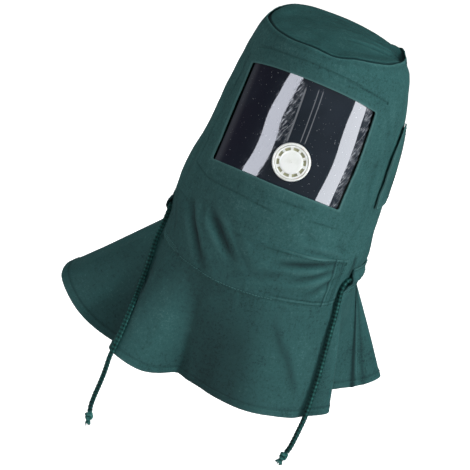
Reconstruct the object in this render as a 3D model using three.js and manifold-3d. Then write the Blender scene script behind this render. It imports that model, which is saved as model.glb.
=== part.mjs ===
// Sandblasting hood: a canvas tube round the head with a curved clear window and a round valve,
// a neck band, a drawcord in a casing and a flared shoulder cape.
// Millimetres, +Z up, the window faces -Y. The origin is where the crown's inner face rests on a head.
// Angles are degrees from the front, towards +X.
import * as THREE from "three";
import { mergeVertices } from "three/addons/utils/BufferGeometryUtils.js";
import Module from "manifold-3d";

// Cloth and clearances
const CANVAS = 1.6;
const GAP = 0.3;
const LAYER_GAP = 0.7;

// Crown
const CROWN_SEAM_DROP = 15;
const CROWN_SEAM_RISE = 11.2;
const CROWN_LIP = 2.5;
const CROWN_FLANGE = 9;

// Body, from the crown seam to the neck seam
const BODY_DROP = 272;
const NECK_HALF_WIDTH = 120;
const NECK_FRONT = 118;
const NECK_BACK = 122;
const DENT_DEPTH = 4;

// Window and lens
const WINDOW_WIDTH = 167;
const WINDOW_HEIGHT = 118;
const WINDOW_TOP_DROP = 29;
const WINDOW_TOP_ARCH = 13;
const WINDOW_BOTTOM_ARCH = 8;
const WINDOW_CORNER = 3.5;
const LENS_THICKNESS = 1;
const LENS_MARGIN_SIDE = 20;
const LENS_MARGIN_TOP = 9;
const LENS_MARGIN_BOTTOM = 20;
const POCKET_MARGIN = 9;

// Slot where the lens goes in, and its flap
const SLOT_ANGLE = 86;
const SLOT_WIDTH = 5;
const SLOT_INSET = 6;
const FLAP_FRONT_ANGLE = 73.5;
const FLAP_WIDTH = 44;
const FLAP_TOP_DROP = 59;
const FLAP_HEIGHT = 92;
const FLAP_LIFT = 2.6;
const FLAP_CORNER_CUT = 20;
const FLAP_CORNER_SHARE = 0.4;

// Valve in the lens
const VENT_DIAMETER = 42;
const VENT_BORE = 25;
const VENT_BARREL_WALL = 2;
const VENT_FRONT_HEIGHT = 5.2;
const VENT_BARREL_DEPTH = 9;
const VENT_SIDE_OFFSET = 11;
const VENT_DROP = 118;
const VENT_SLOTS = 10;
const VENT_SLOT_LENGTH = 6.5;
const VENT_SLOT_WIDTH = 2.8;
const VENT_RING_DIAMETER = 39;
const VENT_RING_HEIGHT = 5;
const VENT_RIM_WIDTH = 2.7;
const VENT_RIM_CHAMFER = 1;
const VENT_CAP_THICKNESS = 1.5;
const VENT_CAP_RECESS = 0.4;
const VENT_CAP_LEDGE = 1;
const VENT_CHAMBER_FLOOR = 1.2;
const VENT_SLOT_MARGIN = 0.5;
// Far enough either way to pass the lens's curve under the valve
const PAST_LENS = 12;

// Neck band at the front, and the drawcord's casing from its one end round the back to its other
const BAND_HEIGHT = 62;
const BAND_LEFT_ANGLE = -66;
const BAND_RIGHT_ANGLE = 60;
const CASING_HEIGHT = 28;
const CASING_MOUTH_RISE = 6;
const CASING_LEFT_ANGLE = -79;
const CASING_RIGHT_ANGLE = 69.5;
const CORD_DIAMETER = 5;
const CORD_CLEARANCE = 0.4;

// Cape
const CAPE_LENGTH = 131;
const HEM_WIDTH = 9;
const HEM_EXTRA = 1;

// Knots at the cord's ends
const KNOT_DIAMETER = 9;
const KNOT_LENGTH = 15;

// A row for each level of the body. down: share of BODY_DROP below the crown seam.
// side, front, back: shares of NECK_HALF_WIDTH, NECK_FRONT and NECK_BACK. shift: share of NECK_HALF_WIDTH to +X
const SECTIONS = [
  { down: -0.06, side: 0.65, front: 0.742, back: 0.762, shift: -0.031 },
  { down: -0.02, side: 0.675, front: 0.76, back: 0.78, shift: -0.03 },
  { down: 0, side: 0.695, front: 0.775, back: 0.795, shift: -0.028 },
  { down: 0.03, side: 0.735, front: 0.8, back: 0.82, shift: -0.016 },
  { down: 0.1, side: 0.775, front: 0.832, back: 0.855, shift: -0.01 },
  { down: 0.2, side: 0.82, front: 0.858, back: 0.885, shift: 0 },
  { down: 0.33, side: 0.868, front: 0.88, back: 0.915, shift: 0.004 },
  { down: 0.52, side: 0.908, front: 0.935, back: 0.95, shift: -0.006 },
  { down: 0.7, side: 0.955, front: 0.972, back: 0.98, shift: -0.018 },
  { down: 0.8, side: 0.97, front: 0.988, back: 0.975, shift: -0.008 },
  { down: 0.89, side: 0.945, front: 0.994, back: 0.945, shift: -0.004 },
  { down: 1, side: 0.96, front: 1, back: 0.955, shift: -0.004 },
];

// A row for each dent or ridge of the body. from, to: angles. down, to_down: shares of BODY_DROP.
// width: degrees. rise: share of DENT_DEPTH, outward
const DENTS = [
  { name: "left valley", from: -47, down: 0.74, to: -20, to_down: 0.97, width: 5.5, rise: -0.85 },
  { name: "left ridge", from: -38, down: 0.76, to: -11, to_down: 0.99, width: 5.5, rise: 0.75 },
  { name: "left inner valley", from: -30, down: 0.73, to: -5, to_down: 0.9, width: 6, rise: -0.85 },
  { name: "left outer ridge", from: -56, down: 0.78, to: -31, to_down: 1, width: 6, rise: 0.45 },
  { name: "front swell", from: 2, down: 0.8, to: 12, to_down: 0.93, width: 9, rise: 0.4 },
  { name: "right fan valley", from: 51, down: 0.78, to: 16, to_down: 0.86, width: 5, rise: -0.65 },
  { name: "right fan ridge", from: 50, down: 0.745, to: 26, to_down: 0.775, width: 5.5, rise: 0.45 },
  { name: "right low ridge", from: 50, down: 0.86, to: 26, to_down: 0.93, width: 7, rise: 0.5 },
  { name: "right shoulder", from: 62, down: 0.03, to: 84, to_down: 0.13, width: 11, rise: 0.75 },
  { name: "left shoulder", from: -60, down: 0.03, to: -88, to_down: 0.1, width: 11, rise: -0.25 },
  { name: "back valley", from: 150, down: 0.1, to: 165, to_down: 0.5, width: 14, rise: -0.8 },
  { name: "back ridge", from: -160, down: 0.25, to: -140, to_down: 0.75, width: 14, rise: 0.7 },
  { name: "back waist", from: 178, down: 0.6, to: 200, to_down: 0.9, width: 14, rise: -0.8 },
];

// The crown's seam is highest at the rear left and dips at the front. rise: share of CROWN_SEAM_RISE
const CROWN_SEAM = [
  { angle: -180, rise: 0.67 },
  { angle: -160, rise: 0.84 },
  { angle: -140, rise: 1 },
  { angle: -125, rise: 0.94 },
  { angle: -108, rise: 0.69 },
  { angle: -92, rise: 0.27 },
  { angle: -75, rise: 0.04 },
  { angle: -53, rise: -0.09 },
  { angle: -40, rise: -0.18 },
  { angle: -24, rise: -0.16 },
  { angle: -5, rise: 0.04 },
  { angle: 9, rise: -0.09 },
  { angle: 27, rise: 0.31 },
  { angle: 57, rise: 0.4 },
  { angle: 71, rise: 0.54 },
  { angle: 90, rise: 0.58 },
  { angle: 110, rise: 0.57 },
  { angle: 128, rise: 0.72 },
  { angle: 143, rise: 0.27 },
  { angle: 160, rise: 0.46 },
];

// The neck seam is higher at the sides and back. rise: share of BAND_HEIGHT above its place at the front
const NECK_SEAM = [
  { angle: -180, rise: 0.26 },
  { angle: -120, rise: 0.24 },
  { angle: -88, rise: 0.19 },
  { angle: -64, rise: 0.07 },
  { angle: -38, rise: 0.03 },
  { angle: -5, rise: -0.01 },
  { angle: 17, rise: 0.02 },
  { angle: 36, rise: 0.05 },
  { angle: 54, rise: 0.07 },
  { angle: 73, rise: 0.24 },
  { angle: 87, rise: 0.26 },
  { angle: 120, rise: 0.25 },
];

// A row for each fold of the cape, at its crest or its bottom. neck, hem: its angle at the neck seam and at
// the hem. lean: degrees that the cloth stands out from straight down
const CAPE_FOLDS = [
  { name: "back crest", neck: -176, hem: -178, lean: 26 },
  { name: "back left valley", neck: -158, hem: -160, lean: 12 },
  { name: "back left crest", neck: -140, hem: -141, lean: 28 },
  { name: "rear left valley", neck: -122, hem: -124, lean: 13 },
  { name: "left edge behind", neck: -104, hem: -106, lean: 24 },
  { name: "left tip, rear corner", neck: -90, hem: -90, lean: 42 },
  { name: "left tip", neck: -78, hem: -80, lean: 46 },
  { name: "left tip, front corner", neck: -72, hem: -70, lean: 47 },
  { name: "left slope", neck: -64, hem: -60, lean: 36 },
  { name: "left cord valley", neck: -56, hem: -49.5, lean: 12 },
  { name: "front left crest", neck: -44, hem: -37, lean: 23.5 },
  { name: "front left slope", neck: -31, hem: -26, lean: 14 },
  { name: "front valley", neck: -16, hem: -17, lean: -9 },
  { name: "front middle", neck: -6, hem: -6, lean: -9.5 },
  { name: "front right rise", neck: 9, hem: 10, lean: -5 },
  { name: "front right slope", neck: 25, hem: 27, lean: 5 },
  { name: "front right crest", neck: 42, hem: 42, lean: 10 },
  { name: "right cord stretch", neck: 60, hem: 54, lean: 13.5 },
  { name: "right sharp crest", neck: 70, hem: 62.5, lean: 22 },
  { name: "right deep valley", neck: 78, hem: 73, lean: 6 },
  { name: "right valley floor", neck: 88, hem: 88, lean: 4 },
  { name: "right seam slope", neck: 97, hem: 98, lean: 12 },
  { name: "right tip", neck: 106, hem: 109, lean: 34 },
  { name: "right tip behind", neck: 118, hem: 122, lean: 25 },
  { name: "rear right valley", neck: 134, hem: 138, lean: 11 },
  { name: "back right crest", neck: 152, hem: 156, lean: 26 },
  { name: "back right valley", neck: 168, hem: 170, lean: 15 },
];

// Steps of the meshes
const BODY_COLUMNS = 60;
const CAPE_COLUMNS = 90;
const ROUND_SIDES = 16;
const CORD_SIDES = 8;
const KNOT_SIDES = 10;
const CORD_STEP = 2.8;

const CANVAS_FINISH = { color: 0x2a4f4c, roughness: 0.92, metalness: 0 };
const CORD_FINISH = { color: 0x1d3f3a, roughness: 0.88, metalness: 0 };
const LENS_FINISH = { color: 0x23262f, roughness: 0.08, metalness: 0 };
const VENT_FINISH = { color: 0xe6ebec, roughness: 0.38, metalness: 0 };

const CROWN_SEAM_Z = -CROWN_SEAM_DROP;
const radians = THREE.MathUtils.degToRad;
const degrees = THREE.MathUtils.radToDeg;
const lerp = THREE.MathUtils.lerp;

// An angle within half a turn either side of the front
const wrapped = (angle) => THREE.MathUtils.euclideanModulo(angle + 180, 360) - 180;

// A monotone cubic through the rows of a table, periodic if a period is given
function tableCurve(rows, from, to, period = 0) {
  const before = period ? rows.slice(-3).map((row) => [row[from] - period, row[to]]) : [];
  const after = period ? rows.slice(0, 3).map((row) => [row[from] + period, row[to]]) : [];
  const points = [...before, ...rows.map((row) => [row[from], row[to]]), ...after];
  const last = points.length - 1;
  const step = (i) => points[i + 1][0] - points[i][0];
  const slope = (i) => (points[i + 1][1] - points[i][1]) / step(i);
  const tangents = points.map((_, i) => {
    if (i === 0) return slope(0);
    if (i === last) return slope(last - 1);
    const left = slope(i - 1);
    const right = slope(i);
    if (left * right <= 0) return 0;
    const leftWeight = 2 * step(i) + step(i - 1);
    const rightWeight = step(i) + 2 * step(i - 1);
    return (leftWeight + rightWeight) / (leftWeight / left + rightWeight / right);
  });
  const start = rows[0][from];
  return (value) => {
    const x = period ? THREE.MathUtils.euclideanModulo(value - start, period) + start : value;
    let i = 0;
    while (i < last - 1 && x >= points[i + 1][0]) i += 1;
    const width = step(i);
    const t = THREE.MathUtils.clamp((x - points[i][0]) / width, 0, 1);
    const early = points[i][1] * (1 + 2 * t) * (1 - t) ** 2 + tangents[i] * width * t * (1 - t) ** 2;
    const late = points[i + 1][1] * t * t * (3 - 2 * t) + tangents[i + 1] * width * t * t * (t - 1);
    return early + late;
  };
}

const sideShare = tableCurve(SECTIONS, "down", "side");
const frontShare = tableCurve(SECTIONS, "down", "front");
const backShare = tableCurve(SECTIONS, "down", "back");
const shiftShare = tableCurve(SECTIONS, "down", "shift");
const crownRise = tableCurve(CROWN_SEAM, "angle", "rise", 360);
const neckRise = tableCurve(NECK_SEAM, "angle", "rise", 360);
const foldLean = tableCurve(CAPE_FOLDS, "hem", "lean", 360);
const foldTwist = tableCurve(
  CAPE_FOLDS.map((row) => ({ hem: row.hem, twist: row.hem - row.neck })), "hem", "twist", 360);

// How far the body's dents and ridges move its face at an angle and a depth
function dentRise(angle, down) {
  // One share of BODY_DROP counts as this many degrees of turn, so that a dent is as wide each way
  const DEGREES_PER_DROP = 130;
  const END_FADE = 0.12;
  let total = 0;
  for (const dent of DENTS) {
    const along = dent.to - dent.from;
    const below = (dent.to_down - dent.down) * DEGREES_PER_DROP;
    const x = wrapped(angle - dent.from);
    const y = (down - dent.down) * DEGREES_PER_DROP;
    const t = THREE.MathUtils.clamp((x * along + y * below) / (along ** 2 + below ** 2), 0, 1);
    const apart = (x - t * along) ** 2 + (y - t * below) ** 2;
    const fade = Math.sin(Math.PI * lerp(END_FADE, 1 - END_FADE, t));
    total += dent.rise * fade * Math.exp(-apart / dent.width ** 2);
  }
  return total * DENT_DEPTH;
}

// The body's outer face, as a distance from its centre line
function bodyRadius(angle, z) {
  const down = (CROWN_SEAM_Z - z) / BODY_DROP;
  const turn = radians(angle);
  const side = sideShare(down) * NECK_HALF_WIDTH;
  const depth = Math.cos(turn) > 0 ? frontShare(down) * NECK_FRONT : backShare(down) * NECK_BACK;
  return 1 / Math.hypot(Math.sin(turn) / side, Math.cos(turn) / depth) + dentRise(angle, down);
}

// A point at an angle and height, on the body's outer face or that far outside it
function onBody(angle, z, out = 0) {
  const radius = bodyRadius(angle, z) + out;
  const shift = shiftShare((CROWN_SEAM_Z - z) / BODY_DROP) * NECK_HALF_WIDTH;
  const turn = radians(angle);
  return new THREE.Vector3(shift + radius * Math.sin(turn), -radius * Math.cos(turn), z);
}

const crownSeamZ = (angle) => CROWN_SEAM_Z + CROWN_SEAM_RISE * crownRise(angle);
const neckSeamZ = (angle) => CROWN_SEAM_Z - BODY_DROP + BAND_HEIGHT * neckRise(angle);

// A point of the cape: down its length, t is 0 at the neck seam and 1 at the hem; out is along its outside
function onCape(hemAngle, t, out = 0) {
  const twist = foldTwist(hemAngle);
  const neckAngle = hemAngle - twist;
  const top = onBody(neckAngle, neckSeamZ(neckAngle) - LAYER_GAP);
  const turn = radians(neckAngle + twist * t);
  const lean = radians(foldLean(hemAngle));
  const neckRadius = bodyRadius(neckAngle, top.z);
  const radius = neckRadius + CAPE_LENGTH * t * Math.sin(lean) + out * Math.cos(lean);
  const shift = top.x - neckRadius * Math.sin(radians(neckAngle));
  const z = top.z - CAPE_LENGTH * t * Math.cos(lean) + out * Math.sin(lean) * t;
  return new THREE.Vector3(shift + radius * Math.sin(turn), -radius * Math.cos(turn), z);
}

// A closed geometry from its corners and triangles, turned so that its faces point outward
function closedGeometry(points, triangles) {
  let volume = 0;
  for (const [a, b, c] of triangles) volume += points[a].dot(points[b].clone().cross(points[c]));
  const outward = volume > 0 ? triangles : triangles.map(([a, b, c]) => [a, c, b]);
  const geometry = new THREE.BufferGeometry();
  geometry.setAttribute("position", new THREE.Float32BufferAttribute(points.flatMap((p) => p.toArray()), 3));
  geometry.setIndex(outward.flat());
  geometry.computeVertexNormals();
  return geometry;
}

// A sheet with two faces. point(u, v, inner) gives a corner: u runs along it, v down it, both 0 to 1.
// A ring closes on itself along u
function sheet({ columns, levels, ring = false, point }) {
  const across = ring ? columns : columns + 1;
  const down = levels.length;
  const points = [];
  for (const inner of [false, true]) {
    for (let i = 0; i < across; i += 1) {
      for (const v of levels) points.push(point(i / columns, v, inner));
    }
  }
  const corner = (inner, i, j) => (inner ? across * down : 0) + (i % across) * down + j;
  const triangles = [];
  const quad = (a, b, c, d) => triangles.push([a, b, c], [a, c, d]);
  for (let i = 0; i < columns; i += 1) {
    for (let j = 0; j < down - 1; j += 1) {
      quad(corner(false, i, j), corner(false, i, j + 1),
        corner(false, i + 1, j + 1), corner(false, i + 1, j));
      quad(corner(true, i, j), corner(true, i + 1, j), corner(true, i + 1, j + 1), corner(true, i, j + 1));
    }
    const foot = down - 1;
    quad(corner(false, i, 0), corner(false, i + 1, 0), corner(true, i + 1, 0), corner(true, i, 0));
    quad(corner(false, i, foot), corner(true, i, foot),
      corner(true, i + 1, foot), corner(false, i + 1, foot));
  }
  if (!ring) {
    for (let j = 0; j < down - 1; j += 1) {
      quad(corner(false, 0, j), corner(true, 0, j), corner(true, 0, j + 1), corner(false, 0, j + 1));
      quad(corner(false, columns, j), corner(false, columns, j + 1),
        corner(true, columns, j + 1), corner(true, columns, j));
    }
  }
  return closedGeometry(points, triangles);
}

// A closed form from rings of corners between two poles
function poleToPole(firstPole, rings, lastPole) {
  const sides = rings[0].length;
  const points = [firstPole, ...rings.flat(), lastPole];
  const corner = (k, i) => 1 + k * sides + (i % sides);
  const triangles = [];
  for (let i = 0; i < sides; i += 1) {
    triangles.push([0, corner(0, i), corner(0, i + 1)]);
    for (let k = 0; k < rings.length - 1; k += 1) {
      triangles.push([corner(k, i), corner(k + 1, i), corner(k + 1, i + 1)]);
      triangles.push([corner(k, i), corner(k + 1, i + 1), corner(k, i + 1)]);
    }
    triangles.push([points.length - 1, corner(rings.length - 1, i + 1), corner(rings.length - 1, i)]);
  }
  return closedGeometry(points, triangles);
}

// Equal steps from 0 to 1
const evenLevels = (count) => Array.from({ length: count + 1 }, (_, k) => k / count);

const wasm = await Module();
wasm.setup();

// A solid for cutting and joining, from a closed geometry
function solidOf(geometry) {
  const bare = geometry.clone();
  bare.deleteAttribute("normal");
  bare.deleteAttribute("uv");
  const merged = mergeVertices(bare, 1e-4);
  const vertProperties = new Float32Array(merged.attributes.position.array);
  const triVerts = new Uint32Array(merged.index.array);
  return new wasm.Manifold(new wasm.Mesh({ numProp: 3, vertProperties, triVerts }));
}

function geometryOf(solid) {
  const mesh = solid.getMesh();
  const geometry = new THREE.BufferGeometry();
  geometry.setAttribute("position", new THREE.Float32BufferAttribute(mesh.vertProperties, 3));
  geometry.setIndex(Array.from(mesh.triVerts));
  geometry.computeVertexNormals();
  return geometry;
}

const cut = (geometry, ...tools) => geometryOf(
  tools.reduce((solid, tool) => solid.subtract(solidOf(tool)), solidOf(geometry)));

// Where the window is, on the body's front
const windowTopZ = CROWN_SEAM_Z - WINDOW_TOP_DROP;
const windowBottomZ = windowTopZ - WINDOW_HEIGHT;
const windowMiddleZ = (windowTopZ + windowBottomZ) / 2;
const degreesPerMm = (z) => degrees(1 / bodyRadius(0, z));

// A tool that cuts a window shape through the body's front wall only, grown by a margin
function windowTool(margin = 0) {
  const half = WINDOW_WIDTH / 2 + margin;
  const corner = WINDOW_CORNER + margin;
  const top = windowTopZ + margin;
  const bottom = windowBottomZ - margin;
  const EDGE_STEPS = 10;
  const CORNER_STEPS = 3;
  const outline = [];
  const arc = (x, z, start) => {
    for (let k = 0; k <= CORNER_STEPS; k += 1) {
      const turn = start + (Math.PI / 2) * (k / CORNER_STEPS);
      outline.push([x + corner * Math.cos(turn), z + corner * Math.sin(turn)]);
    }
  };
  const edge = (fromX, toX, z) => {
    for (let k = 1; k < EDGE_STEPS; k += 1) outline.push([lerp(fromX, toX, k / EDGE_STEPS), z]);
  };
  arc(half - corner, top - corner, 0);
  edge(half - corner, corner - half, top);
  arc(corner - half, top - corner, Math.PI / 2);
  arc(corner - half, bottom + corner, Math.PI);
  edge(corner - half, half - corner, bottom);
  arc(half - corner, bottom + corner, -Math.PI / 2);
  const shape = new THREE.Shape(outline.map(([x, z]) => new THREE.Vector2(x, z)));
  const tool = mergeVertices(bareExtrusion(shape, 1));
  const place = tool.attributes.position;
  // Radially from near the centre line to well outside, so that the tool's flat faces clear the wall
  const NEAR_SHARE = 0.15;
  const FAR_SHARE = 2.4;
  for (let k = 0; k < place.count; k += 1) {
    const upper = (place.getY(k) - bottom) / (top - bottom);
    const arch = lerp(WINDOW_BOTTOM_ARCH, WINDOW_TOP_ARCH, upper) * (place.getX(k) / half) ** 2;
    const z = place.getY(k) - arch;
    const angle = place.getX(k) * degreesPerMm(z);
    const radius = bodyRadius(0, z) * (place.getZ(k) > 0.5 ? FAR_SHARE : NEAR_SHARE);
    place.setXYZ(k, radius * Math.sin(radians(angle)), -radius * Math.cos(radians(angle)), z);
  }
  return tool;
}

function bareExtrusion(shape, depth) {
  const geometry = new THREE.ExtrudeGeometry(shape, { depth, bevelEnabled: false });
  geometry.deleteAttribute("normal");
  geometry.deleteAttribute("uv");
  return geometry;
}

// A slab that follows the body's front between two distances from its face
function frontSlab(fromAngle, toAngle, topZ, bottomZ, outerOut, innerOut, columns, rows) {
  return sheet({
    columns,
    levels: evenLevels(rows),
    point: (u, v, inner) => {
      const out = inner ? innerOut : outerOut;
      return onBody(lerp(fromAngle, toAngle, u), lerp(topZ, bottomZ, v), out);
    },
  });
}

const lensOut = -CANVAS - LAYER_GAP;
const lensIn = lensOut - LENS_THICKNESS;
const pocketOut = lensIn - LAYER_GAP;
const lensHalfAngle = (WINDOW_WIDTH / 2 + LENS_MARGIN_SIDE) * degreesPerMm(windowMiddleZ);
const lensTopZ = windowTopZ + LENS_MARGIN_TOP;
const lensBottomZ = windowBottomZ - LENS_MARGIN_BOTTOM;
const LENS_COLUMNS = 16;
const LENS_ROWS = 3;

function bodyTube() {
  const levels = [0, 0.02, 0.05, 0.11, 0.21, 0.36, 0.54, 0.68, 0.77, 0.86, 0.93, 1];
  const tube = sheet({
    columns: BODY_COLUMNS,
    levels,
    ring: true,
    point: (u, v, inner) => {
      const angle = u * 360;
      const z = lerp(crownSeamZ(angle) + CROWN_LIP, neckSeamZ(angle), v);
      return onBody(angle, z, inner ? -CANVAS : 0);
    },
  });
  const slotMiddleZ = CROWN_SEAM_Z - FLAP_TOP_DROP - FLAP_HEIGHT / 2;
  const slotHalfAngle = degreesPerMm(slotMiddleZ) * (SLOT_WIDTH / 2);
  const slot = frontSlab(SLOT_ANGLE - slotHalfAngle, SLOT_ANGLE + slotHalfAngle,
    CROWN_SEAM_Z - FLAP_TOP_DROP - SLOT_INSET, CROWN_SEAM_Z - FLAP_TOP_DROP - FLAP_HEIGHT + SLOT_INSET,
    CANVAS, -2 * CANVAS, 1, 3);
  return cut(tube, windowTool(), slot);
}

// The domed top panel, its rim turned down inside the body's wall
function crownPanel() {
  const shares = [0.4, 0.78, 1];
  const rim = (angle, inward) => {
    const z = crownSeamZ(angle);
    return onBody(angle, z, -CANVAS - LAYER_GAP - inward);
  };
  const ringAt = (share, under) => Array.from({ length: BODY_COLUMNS }, (_, i) => {
    const edge = rim((i / BODY_COLUMNS) * 360, under ? CANVAS : 0);
    const dome = lerp(under ? 0 : CANVAS, edge.z - (under ? CANVAS : 0), share ** 2);
    return new THREE.Vector3(edge.x * share, edge.y * share, dome);
  });
  const foot = (inward) => Array.from({ length: BODY_COLUMNS }, (_, i) => {
    const angle = (i / BODY_COLUMNS) * 360;
    return onBody(angle, crownSeamZ(angle) - CROWN_FLANGE, -CANVAS - LAYER_GAP - inward);
  });
  const rings = [
    ...shares.map((share) => ringAt(share, false)),
    foot(0),
    foot(CANVAS),
    ...[...shares].reverse().map((share) => ringAt(share, true)),
  ];
  return poleToPole(new THREE.Vector3(0, 0, CANVAS), rings, new THREE.Vector3(0, 0, 0));
}

// The valve's frame: its middle on the lens's outer face, and a turn that takes +Y outward
const ventZ = CROWN_SEAM_Z - VENT_DROP;
const ventAngle = VENT_SIDE_OFFSET * degreesPerMm(ventZ);
const ventSeat = onBody(ventAngle, ventZ, lensOut);

function ventFrame() {
  const STEP = 1;
  const across = onBody(ventAngle + STEP, ventZ, lensOut).sub(onBody(ventAngle - STEP, ventZ, lensOut));
  const upward = onBody(ventAngle, ventZ + STEP, lensOut).sub(onBody(ventAngle, ventZ - STEP, lensOut));
  const outward = across.normalize().cross(upward.normalize()).normalize();
  const side = outward.clone().cross(upward).normalize();
  const down = outward.clone().cross(side).negate();
  return new THREE.Matrix4().makeBasis(side, outward, down).setPosition(ventSeat);
}

// A turned form about the valve's axis. The profile's pairs are radius and height over the lens
function turned(profile) {
  const points = profile.map(([radius, height]) => new THREE.Vector2(radius, height));
  points.push(points[0].clone());
  const lathe = new THREE.LatheGeometry(points, ROUND_SIDES);
  return lathe.applyMatrix4(ventFrame());
}

const ventRadius = VENT_DIAMETER / 2;
const ventBoreRadius = VENT_BORE / 2;
const barrelRadius = ventBoreRadius + VENT_BARREL_WALL;
const capRadius = ventRadius - VENT_RIM_WIDTH - GAP;
const chamberRadius = capRadius - VENT_CAP_LEDGE;
const capTop = VENT_FRONT_HEIGHT - VENT_CAP_RECESS;
const capFoot = capTop - VENT_CAP_THICKNESS;

function lensSheet() {
  const pane = frontSlab(-lensHalfAngle, lensHalfAngle, lensTopZ, lensBottomZ,
    lensOut, lensIn, LENS_COLUMNS, LENS_ROWS);
  const holeRadius = barrelRadius + 2 * GAP;
  const hole = turned([[0, -PAST_LENS], [holeRadius, -PAST_LENS], [holeRadius, PAST_LENS], [0, PAST_LENS]]);
  return cut(pane, hole);
}

// A slab along the lens, in its own steps, between two distances from its outer face
function slabAlongLens(front, back) {
  return frontSlab(-lensHalfAngle, lensHalfAngle, lensTopZ, lensBottomZ, lensOut + front, lensOut - back,
    LENS_COLUMNS, LENS_ROWS);
}

function ventBody() {
  const flange = turned([
    [barrelRadius - VENT_BARREL_WALL / 2, -PAST_LENS / 3], [ventRadius, -PAST_LENS / 3],
    [ventRadius, VENT_FRONT_HEIGHT - VENT_RIM_CHAMFER], [ventRadius - VENT_RIM_CHAMFER, VENT_FRONT_HEIGHT],
    [ventRadius - VENT_RIM_WIDTH, VENT_FRONT_HEIGHT], [ventRadius - VENT_RIM_WIDTH, capFoot - GAP],
    [chamberRadius, capFoot - GAP], [chamberRadius, VENT_CHAMBER_FLOOR],
    [barrelRadius - VENT_BARREL_WALL / 2, VENT_CHAMBER_FLOOR],
  ]);
  const barrel = turned([
    [ventBoreRadius, -VENT_BARREL_DEPTH], [barrelRadius, -VENT_BARREL_DEPTH],
    [barrelRadius, VENT_CHAMBER_FLOOR], [ventBoreRadius, VENT_CHAMBER_FLOOR],
  ]);
  const seated = solidOf(flange).subtract(solidOf(slabAlongLens(GAP, PAST_LENS)));
  return geometryOf(seated.add(solidOf(barrel)));
}

function ventCap() {
  const disc = turned([
    [0, capFoot], [capRadius, capFoot], [capRadius, capTop], [0, capTop],
  ]);
  const slotRing = chamberRadius - VENT_SLOT_WIDTH / 2 - VENT_SLOT_MARGIN;
  const slots = Array.from({ length: VENT_SLOTS }, (_, k) => {
    const slot = new THREE.BoxGeometry(VENT_SLOT_LENGTH, 4 * VENT_CAP_THICKNESS, VENT_SLOT_WIDTH);
    slot.translate(0, capFoot, slotRing);
    slot.rotateY((k / VENT_SLOTS) * 2 * Math.PI);
    return slot.applyMatrix4(ventFrame());
  });
  return cut(disc, ...slots);
}

function ventRing() {
  const inside = barrelRadius + GAP;
  const outside = VENT_RING_DIAMETER / 2;
  const foot = -LENS_THICKNESS - GAP - VENT_RING_HEIGHT;
  const ring = turned([[inside, foot], [outside, foot], [outside, 0], [inside, 0]]);
  return cut(ring, slabAlongLens(PAST_LENS, LENS_THICKNESS + GAP));
}

function lensPocket() {
  const sideAngle = lensHalfAngle + POCKET_MARGIN * degreesPerMm(windowMiddleZ);
  const layer = frontSlab(-sideAngle, sideAngle, lensTopZ + POCKET_MARGIN / 3, lensBottomZ - POCKET_MARGIN,
    pocketOut, pocketOut - CANVAS, LENS_COLUMNS, LENS_ROWS + 1);
  return cut(layer, windowTool(GAP));
}

// The flap: sewn down along its rear edge, its front edge lifted, its upper front corner cut back
function slotFlap() {
  const topZ = CROWN_SEAM_Z - FLAP_TOP_DROP;
  const rearAngle = FLAP_FRONT_ANGLE + FLAP_WIDTH * degreesPerMm(topZ - FLAP_HEIGHT / 2);
  const cutAngle = FLAP_CORNER_CUT * degreesPerMm(topZ);
  return sheet({
    columns: 5,
    levels: [0, 0.12, 0.3, 0.65, 1],
    point: (u, v, inner) => {
      const front = FLAP_FRONT_ANGLE + cutAngle * Math.max(0, 1 - v / FLAP_CORNER_SHARE) ** 1.5;
      const lift = LAYER_GAP + FLAP_LIFT * (1 - u) ** 2;
      return onBody(lerp(front, rearAngle, u), topZ - FLAP_HEIGHT * v, lift + (inner ? 0 : CANVAS));
    },
  });
}

function neckBand() {
  return sheet({
    columns: Math.round((BAND_RIGHT_ANGLE - BAND_LEFT_ANGLE) / (360 / BODY_COLUMNS)),
    levels: evenLevels(3),
    point: (u, v, inner) => {
      const angle = lerp(BAND_LEFT_ANGLE, BAND_RIGHT_ANGLE, u);
      const foot = neckSeamZ(angle);
      const z = lerp(CROWN_SEAM_Z - BODY_DROP + BAND_HEIGHT, foot, v);
      return onBody(angle, z, LAYER_GAP + (inner ? 0 : CANVAS));
    },
  });
}

// The hidden drawcord's centre line stands this far off the body's face
const cordOut = LAYER_GAP + CORD_DIAMETER / 2;

// The casing's middle: above the neck seam, and a little higher towards its mouths
function casingMiddleZ(angle) {
  const MOUTH_SPREAD = 30;
  const fromRight = Math.abs(wrapped(angle - CASING_RIGHT_ANGLE));
  const fromLeft = Math.abs(wrapped(angle - CASING_LEFT_ANGLE));
  const fromMouth = Math.min(fromRight, fromLeft);
  const rise = CASING_MOUTH_RISE * Math.exp(-((fromMouth / MOUTH_SPREAD) ** 2));
  return neckSeamZ(angle) + CASING_HEIGHT / 2 + LAYER_GAP + rise;
}

// The casing arches over the cord: on the body along both edges, clear of the cord in the middle
function cordCasing() {
  const arch = CORD_DIAMETER + CORD_CLEARANCE;
  // How much fuller than half a wave the arch is, its top cut flat
  const FULLNESS = 1.45;
  return sheet({
    columns: BODY_COLUMNS / 2,
    levels: [0, 0.2, 0.42, 0.58, 0.8, 1],
    point: (u, v, inner) => {
      const angle = lerp(CASING_RIGHT_ANGLE, 360 + CASING_LEFT_ANGLE, u);
      const z = casingMiddleZ(angle) + CASING_HEIGHT * (0.5 - v);
      const lift = LAYER_GAP + arch * Math.min(1, FULLNESS * Math.sin(Math.PI * v));
      return onBody(angle, z, lift + (inner ? 0 : CANVAS));
    },
  });
}

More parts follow.
